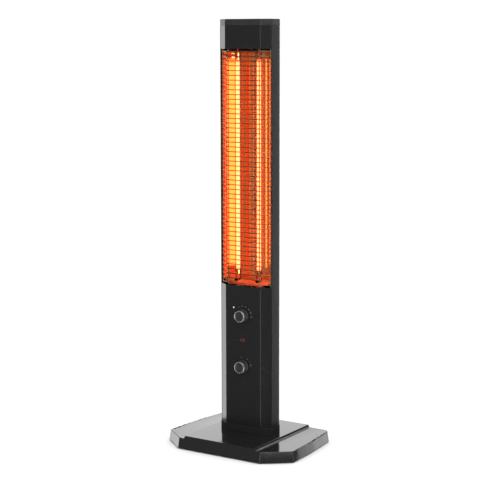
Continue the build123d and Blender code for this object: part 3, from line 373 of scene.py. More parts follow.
@dataclass(frozen=True)
class PowderCoat(Finish):
    """Satin powder coat with a fine orange peel and faint dust."""

    peel: float = 0.9 * MM
    peel_depth: float = 0.012 * MM
    dust_patch: float = 9 * MM
    dust_cover: float = 0.35
    dust_lift: float = 0.012
    cloud_patch: float = 55 * MM
    cloud_spread: float = 0.10

    def channels(self, graph: Graph) -> dict:
        """Orange peel in the normal, cloudy roughness and dust in the colour.

        Args:
            graph: the material's node tree.

        Returns:
            Inputs of the surface shader by name.
        """
        dust = graph.noise(self.dust_patch, 6, (1, 1, 0.5), 0.65).ramp(0.52, 0.80, 0.0, self.dust_cover)
        cloud = graph.noise(self.cloud_patch, 4, (1, 1, 0.35))
        peel = graph.noise(self.peel, 2)
        lift = tuple(c + self.dust_lift for c in self.colour)
        return {"Base Color": dust.between(self.colour, lift),
                "Roughness": self.roughness + (cloud - 0.5) * self.cloud_spread + dust * 0.08,
                "Normal": graph.bump(peel, self.peel_depth)}


@dataclass(frozen=True)
class GlossMoulding(Finish):
    """Polished black moulding with faint waviness, dust and rubbed patches."""

    wave: float = 38 * MM
    wave_depth: float = 0.05 * MM
    wiped_patch: float = 26 * MM
    speck_spacing: float = 5.5 * MM
    speck_lift: float = 0.02

    def channels(self, graph: Graph) -> dict:
        """Slow waves in the normal, fine dust and wiped streaks in the roughness.

        Args:
            graph: the material's node tree.

        Returns:
            Inputs of the surface shader by name.
        """
        wave = graph.noise(self.wave, 2)
        streak = graph.noise(self.wiped_patch, 5, (0.25, 1.6, 1), 0.6).ramp(0.45, 0.75)
        speck = graph.speckle(self.speck_spacing).ramp(0.02, 0.09, 1.0, 0.0)
        lift = tuple(c + self.speck_lift for c in self.colour)
        return {"Base Color": (speck * 0.6).between(self.colour, lift),
                "Roughness": self.roughness + streak * 0.05 + speck * 0.20,
                "Normal": graph.bump(wave, self.wave_depth)}


@dataclass(frozen=True)
class FineMoulding(Finish):
    """Spark-eroded moulding with a fine even grain."""

    grain: float = 0.35 * MM
    depth: float = 0.02 * MM
    mottle: float = 14 * MM

    def channels(self, graph: Graph) -> dict:
        """Grain in the normal and a soft mottle in colour and roughness.

        Args:
            graph: the material's node tree.

        Returns:
            Inputs of the surface shader by name.
        """
        mottle = graph.noise(self.mottle, 4)
        grain = graph.noise(self.grain, 2)
        light = tuple(min(1.0, c * 1.25 + 0.004) for c in self.colour)
        return {"Base Color": mottle.between(self.colour, light),
                "Roughness": self.roughness + (mottle - 0.5) * 0.12,
                "Normal": graph.bump(grain, self.depth)}


@dataclass(frozen=True)
class Plated(Finish):
    """Plated or bare metal with drawn streaks along one axis."""

    metallic: float = 1.0
    streak: Point = (1.0, 1.0, 0.06)
    streak_size: float = 1.4 * MM
    spread: float = 0.10
    stain: Colour = (0.5, 0.48, 0.45)
    stain_patch: float = 17 * MM
    streak_depth: float = 0.004 * MM

    def channels(self, graph: Graph) -> dict:
        """Streaks in the roughness and slight staining in the colour.

        Args:
            graph: the material's node tree.

        Returns:
            Inputs of the surface shader by name.
        """
        lines = graph.noise(self.streak_size, 3, self.streak)
        patch = graph.noise(self.stain_patch, 4).ramp(0.55, 0.85, 0.0, 0.6)
        return {"Base Color": patch.between(self.colour, self.stain),
                "Roughness": self.roughness + (lines - 0.5) * self.spread + patch * 0.06,
                "Normal": graph.bump(lines, self.streak_depth)}


@dataclass(frozen=True)
class HotMetal(Plated):
    """Bright metal that straw and blue heat tints have reached near the lamps."""

    straw: Colour = (0.72, 0.50, 0.30)
    straw_patch: float = 23 * MM

    def channels(self, graph: Graph) -> dict:
        """Adds a patchy straw tint to the plated finish.

        Args:
            graph: the material's node tree.

        Returns:
            Inputs of the surface shader by name.
        """
        made = super().channels(graph)
        heat = graph.noise(self.straw_patch, 4, (1, 1, 0.6)).ramp(0.40, 0.75, 0.05, 0.55)
        made["Base Color"] = heat.between(made["Base Color"], self.straw)
        return made


@dataclass(frozen=True)
class EmbossedSheet(HotMetal):
    """Bright sheet with a rolled-in pattern of small frosted pits, with the lamps' glow painted on it as
    emission.
    """

    pit: float = 1.6 * MM
    pit_depth: float = 0.004 * MM
    frosted: float = 0.24
    # Colour of the painted glow, the colour where none is painted, and the heights over which the painted
    # glow rises and fades.
    painted_glow: Colour = (0.27, 0.014, 0.002)
    painted_glow_off: Colour = (0.0, 0.0, 0.0)
    low: float = 0.34
    middle: float = 0.50
    high: float = 0.790
    fade: float = 60 * MM
    upper_share: float = 0.8

    def channels(self, graph: Graph) -> dict:
        """Adds the pits to the roughness and the normal, and the painted glow as emission.

        Args:
            graph: the material's node tree.

        Returns:
            Inputs of the surface shader by name.
        """
        made = super().channels(graph)
        pits = graph.speckle(self.pit, (1, 1, 0.8)).ramp(0.18, 0.45, 1.0, 0.0)
        made["Roughness"] = made["Roughness"] + pits * (self.frosted - self.roughness)
        made["Normal"] = graph.bump(pits, self.pit_depth)
        # Painted light: the sheet itself emits the lamps' glow. It is full low down, eases to upper_share
        # above the middle and fades out towards the top.
        height = graph.axis("Z")
        painted_glow_fall = height.ramp(self.low, self.middle, 1.0, self.upper_share)
        painted_glow_share = painted_glow_fall * height.ramp(self.high - self.fade, self.high, 1.0, 0.0)
        made["Emission Color"] = painted_glow_share.between(self.painted_glow_off, self.painted_glow)
        made["Emission Strength"] = 1.0
        return made


@dataclass(frozen=True)
class Elastomer(Finish):
    """Rubber or silicone with a matt skin and a little bloom."""

    bloom_patch: float = 6 * MM
    bloom_lift: float = 0.05
    pit: float = 0.7 * MM
    pit_depth: float = 0.02 * MM

    def channels(self, graph: Graph) -> dict:
        """Pitted skin with paler bloom in patches.

        Args:
            graph: the material's node tree.

        Returns:
            Inputs of the surface shader by name.
        """
        bloom = graph.noise(self.bloom_patch, 5).ramp(0.5, 0.85, 0.0, 0.4)
        pits = graph.speckle(self.pit)
        pale = tuple(min(1.0, c + self.bloom_lift) for c in self.colour)
        return {"Base Color": bloom.between(self.colour, pale),
                "Roughness": self.roughness + bloom * 0.1,
                "Normal": graph.bump(pits, self.pit_depth)}


@dataclass(frozen=True)
class Steatite(Finish):
    """Pressed white ceramic with pores and warm scorching."""

    scorch: Colour = (0.55, 0.42, 0.30)
    scorch_patch: float = 8 * MM
    pore: float = 0.6 * MM
    pore_depth: float = 0.03 * MM

    def channels(self, graph: Graph) -> dict:
        """Pores in the normal and scorch marks in the colour.

        Args:
            graph: the material's node tree.

        Returns:
            Inputs of the surface shader by name.
        """
        scorch = graph.noise(self.scorch_patch, 4).ramp(0.50, 0.80, 0.0, 0.5)
        pores = graph.speckle(self.pore).ramp(0.0, 0.25)
        return {"Base Color": scorch.between(self.colour, self.scorch),
                "Roughness": self.roughness + scorch * 0.1,
                "Normal": graph.bump(pores, self.pore_depth)}


@dataclass(frozen=True)
class Glow(Finish):
    """Glowing carbon: bright in the middle of the lamp and cooler at its ends."""

    strength: float = 1.0
    hot: Colour = (1.0, 0.1, 0.03)
    cool: Colour = (0.3, 0.01, 0.002)
    low: float = 0.341
    high: float = 0.753
    fade: float = 12 * MM
    patch: float = 11 * MM
    weakest: float = 0.86

    def channels(self, graph: Graph) -> dict:
        """Emission colour that fades over the last stretch at both ends.

        Args:
            graph: the material's node tree.

        Returns:
            Inputs of the surface shader by name.
        """
        height = graph.axis("Z")
        start = height.ramp(self.low, self.low + self.fade)
        end = height.ramp(self.high - self.fade, self.high, 1.0, 0.0)
        uneven = graph.noise(self.patch, 3, (0, 0, 1)).ramp(0.25, 0.75, self.weakest, 1.0)
        heat = start * end * uneven
        return {"Base Color": self.colour, "Roughness": self.roughness,
                "Emission Color": heat.between(self.cool, self.hot), "Emission Strength": self.strength}


@dataclass(frozen=True)
class Lens(Finish):
    """Translucent moulded lens with a lamp just behind it."""

    glow: Colour = (0.5, 0.03, 0.02)
    strength: float = 0.2
    facet: float = 1.3 * MM
    facet_depth: float = 0.08 * MM
    cloud_patch: float = 3 * MM
    cloud_lift: float = 1.5

    def channels(self, graph: Graph) -> dict:
        """Facets in the normal, a clouded colour and an even glow.

        Args:
            graph: the material's node tree.

        Returns:
            Inputs of the surface shader by name.
        """
        facets = graph.speckle(self.facet)
        cloud = graph.noise(self.cloud_patch, 2)
        return {"Base Color": cloud.between(self.colour, tuple(c * self.cloud_lift for c in self.colour)),
                "Roughness": self.roughness, "Normal": graph.bump(facets, self.facet_depth),
                "Emission Color": self.glow, "Emission Strength": self.strength}


@dataclass(frozen=True)
class ClearQuartz(Finish):
    """Clear quartz tube: see-through face on, mirror-like at its edges."""

    edge: float = 0.12
    haze: float = 0.04
    haze_patch: float = 20 * MM

    def shader(self, graph: Graph) -> bpy.types.Node:
        """Mixes a clear and a glossy surface by the angle of view.

        Args:
            graph: the material's node tree.

        Returns:
            The node whose first output is the surface.
        """
        clear = graph.node("ShaderNodeBsdfTransparent", None, {"Color": self.colour})
        gloss = graph.node("ShaderNodeBsdfAnisotropic", None,
                           {"Color": (1, 1, 1), "Roughness": self.roughness})
        haze = graph.noise(self.haze_patch, 3).ramp(0.4, 0.9, 0.0, self.haze)
        facing = graph.value("ShaderNodeLayerWeight", None, {"Blend": self.edge}, "Fresnel")
        mixed = graph.node("ShaderNodeMixShader", None, {0: facing + haze})
        graph.tree.links.new(clear.outputs[0], mixed.inputs[1])
        graph.tree.links.new(gloss.outputs[0], mixed.inputs[2])
        return mixed


BLACK_COAT = PowderCoat("black_powder_coat", "column_paint", (0.0125, 0.0128, 0.0138), 0.24)
PANEL_COAT = PowderCoat("black_panel_coat", "panel_paint", (0.0120, 0.0122, 0.0132), 0.22)
CAP_MOULDING = FineMoulding("cap_moulding", "cap_plastic", (0.020, 0.020, 0.021), 0.34)
PLINTH_MOULDING = GlossMoulding("plinth_moulding", "plinth_plastic", (0.017, 0.017, 0.018), 0.12)
BASE_MOULDING = GlossMoulding("base_moulding", "base_plastic", (0.013, 0.0132, 0.014), 0.10, specular=0.7)
KNOB_MOULDING = FineMoulding("knob_moulding", "knob_plastic", (0.022, 0.022, 0.023), 0.28)
KNOB_CHROME = Plated("knob_chrome", "knob_chrome", (0.93, 0.93, 0.94), 0.17, 0.80, spread=0.05)
# Painted light: the guard wire's dark amber colour stands in for the lamps' orange light on the chrome wires
# and for their shade against the bright reflector. The straw patches are heat tint.
GUARD_WIRE = HotMetal("guard_wire", "guard_wire", (0.34, 0.29, 0.15), 0.36, streak=(0.1, 1, 1),
                      straw=(0.34, 0.23, 0.10))
# Painted light: the amber in the reflector's colour stands in for the lamps' orange light reflected in the
# aluminium, and its emission is a painted glow. The straw patches are heat tint.
REFLECTOR_SHEET = EmbossedSheet("reflector_sheet", "reflector_aluminium", (0.92, 0.66, 0.27), 0.085,
                                spread=0.05, straw=(0.86, 0.52, 0.18))
HOT_PLATE = HotMetal("hot_plate", "reflector_aluminium", (0.52, 0.38, 0.26), 0.50, straw=(0.44, 0.26, 0.14))
ZINC_SHEET = Plated("zinc_sheet", "zinc_steel", (0.60, 0.61, 0.62), 0.38)
SPRING_STEEL = Plated("spring_steel", "spring_steel", (0.58, 0.58, 0.58), 0.30)
SHAFT_STEEL = Plated("shaft_steel", "shaft_steel", (0.62, 0.62, 0.62), 0.28, streak=(1, 0.06, 1))
NUT_STEEL = Plated("nut_steel", "nut_steel", (0.60, 0.60, 0.58), 0.35)
SCREW_STEEL = Plated("screw_steel", "screw_steel", (0.56, 0.56, 0.55), 0.36)
DARK_SCREW = Plated("dark_screw", "dark_screw_steel", (0.06, 0.06, 0.06), 0.42, stain=(0.10, 0.09, 0.08))
BLACK_RUBBER = Elastomer("black_rubber", "foot_rubber", (0.018, 0.018, 0.018), 0.75)
BUSH_RUBBER = Elastomer("bush_rubber", "bush_rubber", (0.016, 0.016, 0.016), 0.70)
SILICONE = Elastomer("silicone_sleeve", "silicone_wire", (0.66, 0.64, 0.58), 0.55)
PHENOLIC = FineMoulding("phenolic", "phenolic", (0.022, 0.019, 0.017), 0.45)
NYLON = FineMoulding("nylon", "terminal_plastic", (0.78, 0.76, 0.68), 0.42)
ACETAL = FineMoulding("acetal", "plunger_plastic", (0.74, 0.74, 0.71), 0.35)
CERAMIC = Steatite("steatite", "steatite", (0.82, 0.79, 0.72), 0.55)
CARBON_GLOW = Glow("carbon_glow", "glowing_carbon", (0.02, 0.02, 0.02), 0.6, strength=10.0,
                   hot=(1.0, 0.122, 0.040), cool=(0.16, 0.006, 0.001))
QUARTZ = ClearQuartz("clear_quartz", "quartz", (0.97, 0.96, 0.95), 0.04)
PILOT_RED = Lens("pilot_red", "pilot_red", (0.045, 0.008, 0.006), 0.16, coat=1.0, strength=0.02)
DIAL_INK = FineMoulding("dial_ink", "panel_paint", (0.16, 0.16, 0.16), 0.5)
DIAL_INK_BRIGHT = FineMoulding("dial_ink_bright", "panel_paint", (0.62, 0.62, 0.62), 0.5)


# ---------------------------------------------------------------- mesh work


class Shaper:
    """Makes meshes and turns them into pieces of the heater."""

    @staticmethod
    def piece(name: str, verts: Iterable[Point], faces: Iterable[Sequence[int]], finish: Finish,
              body: Body = Body.HEATER, smooth: float = 40.0) -> bpy.types.Object:
        """Makes an object that rides on a body.

        Args:
            name: the piece's name.
            verts: corner points in metres, in the heater's frame.
            faces: corner numbers of each face.
            finish: its finish.
            body: the body that it rides on.
            smooth: angle in degrees under which neighbouring faces shade as one.

        Returns:
            The new object.
        """
        mesh = bpy.data.meshes.new(name)
        mesh.from_pydata([tuple(v) for v in verts], [], [tuple(f) for f in faces])
        shell = bmesh.new()
        shell.from_mesh(mesh)
        bmesh.ops.recalc_face_normals(shell, faces=shell.faces)
        shell.to_mesh(mesh)
        shell.free()
        mesh.validate()
        made = bpy.data.objects.new(name, mesh)
        bpy.context.scene.collection.objects.link(made)
        Shaper.shade(made, smooth)
        mesh.materials.append(finish.material())
        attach(made, body.value)
        log.info("%s: %d faces on %s", name, len(mesh.polygons), body.value)
        return made

    @staticmethod
    def shade(made: bpy.types.Object, angle: float) -> None:
        """Shades an object smooth, with crisp edges.

        Args:
            made: the object.
            angle: angle in degrees from which an edge is crisp.
        """
        mesh = made.data
        mesh.polygons.foreach_set("use_smooth", [True] * len(mesh.polygons))
        mesh.set_sharp_from_angle(angle=math.radians(angle))

    @staticmethod
    def soften(node: str, finish: Finish, fold: float, edge: float = 0.2 * MM, rounds: int = 3,
               crisp: float = 75.0, least: float = 18.0, body: Body = Body.HEATER) -> bpy.types.Object:
        """Stands in for a designed node with its folds rounded and its edges broken.

        Args:
            node: the designed node.
            finish: the finish of the new piece.
            fold: how far a fold's rounding reaches on either side.
            edge: the same for a cut edge.
            rounds: facets of a fold's rounding.
            crisp: angle in degrees from which an edge counts as cut.
            least: angle in degrees from which an edge counts as a fold.
            body: the body that the node rides on.

        Returns:
            The new object.
        """
        shell = bmesh.new()
        shell.from_mesh(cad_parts[node].data)
        bmesh.ops.remove_doubles(shell, verts=shell.verts, dist=MERGE_DISTANCE)
        bmesh.ops.dissolve_limit(shell, angle_limit=math.radians(FLAT_ANGLE),
                                 verts=shell.verts, edges=shell.edges)
        for low, high, reach, facets in ((least, crisp, fold, rounds), (crisp, WIDEST_FOLD, edge, 2)):
            if reach <= 0:
                continue
            picked = [e for e in shell.edges if len(e.link_faces) == 2 and e.is_convex
                      and low <= math.degrees(e.calc_face_angle(0.0)) < high]
            bmesh.ops.bevel(shell, geom=picked, offset=reach, offset_type="OFFSET", segments=facets,
                            profile=0.5, affect="EDGES", clamp_overlap=False, material=-1)
        mesh = bpy.data.meshes.new(node)
        shell.to_mesh(mesh)
        shell.free()
        made = bpy.data.objects.new(f"rounded_{node}", mesh)
        bpy.context.scene.collection.objects.link(made)
        Shaper.shade(made, SHELL_SMOOTH)
        weld = made.modifiers.new("even_light", "WEIGHTED_NORMAL")
        weld.keep_sharp = True
        mesh.materials.clear()
        mesh.materials.append(finish.material())
        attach(made, body.value)
        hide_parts(node)
        log.info("%s: %d faces on %s", made.name, len(mesh.polygons), body.value)
        return made

    @staticmethod
    def tube(path: Sequence[Vector], radius: float, sides: int = 12) -> Mesh:
        """Round tube along a path, with closed ends.

        Args:
            path: centre points.
            radius: radius in metres.
            sides: number of sides.

        Returns:
            Points and faces.
        """
        verts: list[Vector] = []
        faces: list[tuple[int, ...]] = []
        up = Vector((0, 0, 1)) if abs((path[1] - path[0]).normalized().z) < 0.9 else Vector((0, 1, 0))
        last = len(path) - 1
        for i, spot in enumerate(path):
            along = (path[min(i + 1, last)] - path[max(i - 1, 0)]).normalized()
            side = along.cross(up).normalized()
            up = side.cross(along).normalized()
            for k in range(sides):
                turn = 2 * math.pi * k / sides
                verts.append(spot + (side * math.cos(turn) + up * math.sin(turn)) * radius)
        for i in range(last):
            for k in range(sides):
                a, b = i * sides + k, i * sides + (k + 1) % sides
                faces.append((a, b, b + sides, a + sides))
        faces.append(tuple(range(sides)))
        faces.append(tuple(last * sides + k for k in reversed(range(sides))))
        return verts, faces

    @staticmethod
    def merge(parts: Iterable[Mesh]) -> Mesh:
        """Joins several point and face lists into one.

        Args:
            parts: points and faces of each part.

        Returns:
            Points and faces of all of them.
        """
        verts: list[Vector] = []
        faces: list[tuple[int, ...]] = []
        for some_verts, some_faces in parts:
            shift = len(verts)
            verts.extend(some_verts)
            faces.extend(tuple(i + shift for i in face) for face in some_faces)
        return verts, faces

    @staticmethod
    def lathe(profile: Sequence[tuple[float, ...]], centre: Vector, axis: str = "Z", sides: int = 48,
              hoop: bool = False, flutes: int = 0) -> Mesh:
        """Solid of revolution.

        Args:
            profile: (distance along the axis, radius) pairs from one end to the other; a third number
                is the depth of the flutes there.
            centre: point on the axis where the distance is 0.
            axis: Z, or Y for a piece that faces the front; Y counts towards the front.
            sides: number of sides.
            hoop: whether the profile closes on itself instead of being capped.
            flutes: number of flutes.

        Returns:
            Points and faces.
        """
        verts: list[Vector] = []
        faces: list[tuple[int, ...]] = []
        for along, radius, *cut in profile:
            for k in range(sides):
                turn = 2 * math.pi * k / sides
                size = radius - sum(cut) * (0.5 + 0.5 * math.cos(flutes * turn)) ** 2
                a, b = size * math.cos(turn), size * math.sin(turn)
                verts.append(centre + (Vector((a, b, along)) if axis == "Z" else Vector((a, -along, b))))
        rows = len(profile)
        for i in range(rows if hoop else rows - 1):
            for k in range(sides):
                after, turned = (i + 1) % rows * sides, (k + 1) % sides
                faces.append((i * sides + k, i * sides + turned, after + turned, after + k))
        if not hoop:
            faces += [tuple(range(sides)), tuple((rows - 1) * sides + k for k in range(sides))]
        return verts, faces


def dress(finish: Finish, *nodes: str) -> None:
    """Gives designed nodes their finish.

    Args:
        finish: the finish.
        nodes: names of the nodes.
    """
    for name in nodes:
        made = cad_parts[name]
        made.data.materials.clear()
        made.data.materials.append(finish.material())
        log.info("%s: %s", name, finish.name)


def middle(low: Vector, high: Vector, y: float) -> Vector:
    """Middle of a box seen from the front, at a given y."""
    return Vector(((low.x + high.x) / 2, y, (low.z + high.z) / 2))


# ---------------------------------------------------------------- sub-assemblies


@dataclass
class ColumnShell:
    """Extruded housing, the two folded panels, the cap and the plinth."""

    corner: float = 1.2 * MM
    fold: float = 1.2 * MM

    def build(self) -> None:
        """Dresses the shells of the column."""
        Shaper.soften("column_housing", BLACK_COAT, self.corner)
        for node in ("top_front_panel", "control_panel"):
            Shaper.soften(node, PANEL_COAT, self.fold)
        Shaper.soften("top_cap", CAP_MOULDING, self.corner, 0.4 * MM)
        Shaper.soften("column_plinth", PLINTH_MOULDING, self.corner, 0.35 * MM)
        dress(DARK_SCREW, "cap_screws", "bracket_screws")
        dress(SCREW_STEEL, "plinth_screws")
        dress(BUSH_RUBBER, "cord_bush")


@dataclass
class HeatingChamber:
    """Lamps, their holders, and the embossed reflector behind them."""

    front_plane: float = -15.7 * MM
    ridge: tuple[float, float] = (4.4 * MM, 32.0 * MM)
    trough: tuple[float, float] = (19.0 * MM, 25.5 * MM)
    trough_depth: float = 42.0 * MM
    bow: float = 6.0 * MM
    bow_steps: int = 14
    lip: tuple[float, float] = (53.0 * MM, 25.2 * MM)
    flange_depth: float = 16.0 * MM
    rib_pitch: float = 8.75 * MM
    rib_depth: float = 0.26 * MM
    coil_pitch: float = 2.5 * MM
    coil_wire: float = 0.85 * MM
    coil_radius: float = 3.2 * MM
    core_radius: float = 3.1 * MM
    coil_steps: int = 14
    coil_end: float = 3 * MM
    coil_taper: float = 1.5
    coil_waist: float = 0.15
    core_end: float = 4 * MM
    lead_radius: float = 0.55 * MM
    sheet: float = 0.5 * MM
    sheet_fold: float = 0.9 * MM
    edge_inset: float = 0.6 * MM
    rows_per_rib: int = 8
    rib_fade: float = 4 * MM
    tube_wall: float = 1.0 * MM
    seal_radius: float = 0.7 * MM
    shoulder: tuple[tuple[float, float], ...] = ((0, 0.6), (3 * MM, 0.94), (7 * MM, 1.0))

    def build(self) -> None:
        """Builds the reflector and both lamps, and dresses the rest."""
        self.reflector()
        for side in ("left", "right"):
            self.filament(side)
            self.quartz(side)
        dress(HOT_PLATE, "reflector_top_plate", "reflector_bottom_plate")
        dress(CERAMIC, "ceramic_caps_upper", "ceramic_caps_lower")
        dress(SPRING_STEEL, "lamp_clips_upper", "lamp_clips_lower")
        dress(ZINC_SHEET, "lamp_bracket_upper", "lamp_bracket_lower", "heat_shield")

    def profile(self) -> Line:
        """Plan of the bent sheet as (x, y) points with eased folds.

        Returns:
            Points from the left edge to the right edge, in metres.
        """
        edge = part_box("reflector")[1].x - self.edge_inset
        slope = []
        for i in range(self.bow_steps + 1):
            t = i / self.bow_steps
            chord = self.trough_depth + (self.lip[1] - self.trough_depth) * t
            slope.append((self.trough[1] + (self.lip[0] - self.trough[1]) * t,
                          chord + 4 * self.bow * t * (1 - t)))
        half = [self.ridge, (self.trough[0], self.trough_depth), *slope, (edge, self.lip[1]),
                (edge, self.flange_depth)]
        half = [(x, self.front_plane + depth) for x, depth in half]
        return ease([(-x, y) for x, y in reversed(half)] + half, self.sheet_fold, 3)

    def reflector(self) -> None:
        """Sheet with shallow cross ribs pressed into it."""
        low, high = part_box("reflector")
        plan = self.profile()
        rows = int((high.z - low.z) / self.rib_pitch * self.rows_per_rib)
        verts, faces = [], []
        for side in (0.0, self.sheet):
            for j in range(rows + 1):
                z = low.z + (high.z - low.z) * j / rows
                rib = self.rib_depth * 0.5 * (1 + math.cos(2 * math.pi * (z - low.z) / self.rib_pitch))
                for x, y in plan:
                    ease_edge = min(1.0, (high.x - abs(x)) / self.rib_fade)
                    verts.append((x, y + side + rib * ease_edge, z))
        count = len(plan)
        sheet = (rows + 1) * count
        for s in (0, 1):
            for j in range(rows):
                for i in range(count - 1):
                    a = s * sheet + j * count + i
                    faces.append((a, a + 1, a + 1 + count, a + count))
        rim = list(range(count))
        rim += [j * count + count - 1 for j in range(1, rows + 1)]
        rim += [rows * count + i for i in reversed(range(count - 1))]
        rim += [j * count for j in reversed(range(1, rows))]
        for a, b in zip(rim, rim[1:] + rim[:1]):
            faces.append((a, b, b + sheet, a + sheet))
        made = Shaper.piece("embossed_reflector", verts, faces, REFLECTOR_SHEET)
        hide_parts("reflector")

    def filament(self, side: str) -> None:
        """Wound carbon element between two straight leads.

        Args:
            side: left or right.
        """
        node = f"carbon_filament_{side}"
        low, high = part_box(node)
        x, y = (low.x + high.x) / 2, (low.y + high.y) / 2
        start, end = CARBON_GLOW.low, CARBON_GLOW.high
        length = end - start - 2 * self.coil_end
        turns = length / self.coil_pitch
        steps = int(turns * self.coil_steps)
        coil = []
        for i in range(steps + 1):
            share = i / steps
            turn = 2 * math.pi * turns * share
            ease_in = min(1.0, share * turns / self.coil_taper, (1 - share) * turns / self.coil_taper)
            size = self.coil_radius * (self.coil_waist + (1 - self.coil_waist) * ease_in)
            coil.append(Vector((x + size * math.cos(turn), y + size * math.sin(turn),
                                start + self.coil_end + length * share)))
        path_low = [Vector((x, y, low.z)), Vector((x, y, start + self.coil_end))]
        path_high = [Vector((x, y, end - self.coil_end)), Vector((x, y, high.z))]
        core = [Vector((x, y, start + self.core_end)), Vector((x, y, end - self.core_end))]
        parts = [Shaper.tube(coil, self.coil_wire, 6), Shaper.tube(core, self.core_radius, 14),
                 Shaper.tube(path_low, self.lead_radius, 8), Shaper.tube(path_high, self.lead_radius, 8)]
        verts, faces = Shaper.merge(parts)
        made = Shaper.piece(f"wound_filament_{side}", verts, faces, CARBON_GLOW, smooth=60)
        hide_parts(node)

    def quartz(self, side: str) -> None:
        """Clear tube drawn down to a pinch seal at each end.

        Args:
            side: left or right.
        """
        node = f"quartz_tube_{side}"
        low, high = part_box(node)
        radius = (high.x - low.x) / 2
        length = high.z - low.z
        tip, bore = 4 * MM, 8 * MM
        outer = [(along, radius * share) for along, share in self.shoulder]
        outer += [(length - along, radius * share) for along, share in reversed(self.shoulder)]
        inner = [(length - tip, self.seal_radius), (length - bore, radius - self.tube_wall),
                 (bore, radius - self.tube_wall), (tip, self.seal_radius)]
        centre = Vector(((low.x + high.x) / 2, (low.y + high.y) / 2, low.z))
        made = Shaper.piece(f"clear_tube_{side}", *Shaper.merge([
            Shaper.lathe(outer, centre), Shaper.lathe(inner, centre)]), QUARTZ)
        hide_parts(node)


@dataclass
class WireGuard:
    """Folded wire guard: cross wires, uprights, and the weld nuggets between them."""

    wire: float = 0.9 * MM
    upright: float = 1.1 * MM
    nugget: float = 0.75 * MM
    nugget_reach: float = 1.3 * MM
    nugget_sink: float = 0.9
    bend: float = 3.2 * MM
    count: int = 50
    fold_x: float = 38.6 * MM
    upright_fold_x: float = 35.1 * MM
    end_inset: float = 0.5 * MM
    rear_sink: float = 0.85

    def build(self) -> None:
        """Builds both sets of wires."""
        self.cross_wires()
        self.uprights()

    def levels(self) -> list[float]:
        """Spaces the cross wires over the height of the designed node.

        Returns:
            Heights of their centre lines, from the bottom up.
        """
        low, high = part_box("guard_cross_wires")
        first, last = low.z + self.wire, high.z - self.wire
        return [first + (last - first) * i / (self.count - 1) for i in range(self.count)]

    def plan(self) -> Line:
        """Plan of one cross wire with rounded folds.

        Returns:
            (x, y) points from the left end to the right end.
        """
        low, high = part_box("guard_cross_wires")
        end_x, front, rear = high.x - self.end_inset, low.y + self.wire, high.y - self.wire * self.rear_sink
        return ease([(-end_x, rear), (-self.fold_x, front), (self.fold_x, front), (end_x, rear)],
                    self.bend, 5)

    def cross_wires(self) -> None:
        """One smooth wire per level."""
        plan = self.plan()
        parts = [Shaper.tube([Vector((x, y, z)) for x, y in plan], self.wire, 10) for z in self.levels()]
        made = Shaper.piece("cross_wires", *Shaper.merge(parts), GUARD_WIRE, smooth=60)
        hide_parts("guard_cross_wires")

    def uprights(self) -> None:
        """Uprights with a flattened nugget at every crossing."""
        low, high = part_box("guard_upright_wires")
        front = low.y + self.upright
        rear = high.y - self.upright
        fold_x, end_x = self.upright_fold_x, high.x - self.upright
        reach = Vector((0, 0, self.nugget_reach))
        parts = []
        for x, y in ((-end_x, rear), (-fold_x, front), (fold_x, front), (end_x, rear)):
            parts.append(Shaper.tube([Vector((x, y, low.z)), Vector((x, y, high.z))], self.upright, 12))
            for z in self.levels():
                spot = Vector((x, y - self.upright * self.nugget_sink, z))
                parts.append(Shaper.tube([spot - reach, spot + reach], self.nugget, 6))
        made = Shaper.piece("upright_wires", *Shaper.merge(parts), GUARD_WIRE, smooth=60)
        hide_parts("guard_upright_wires")


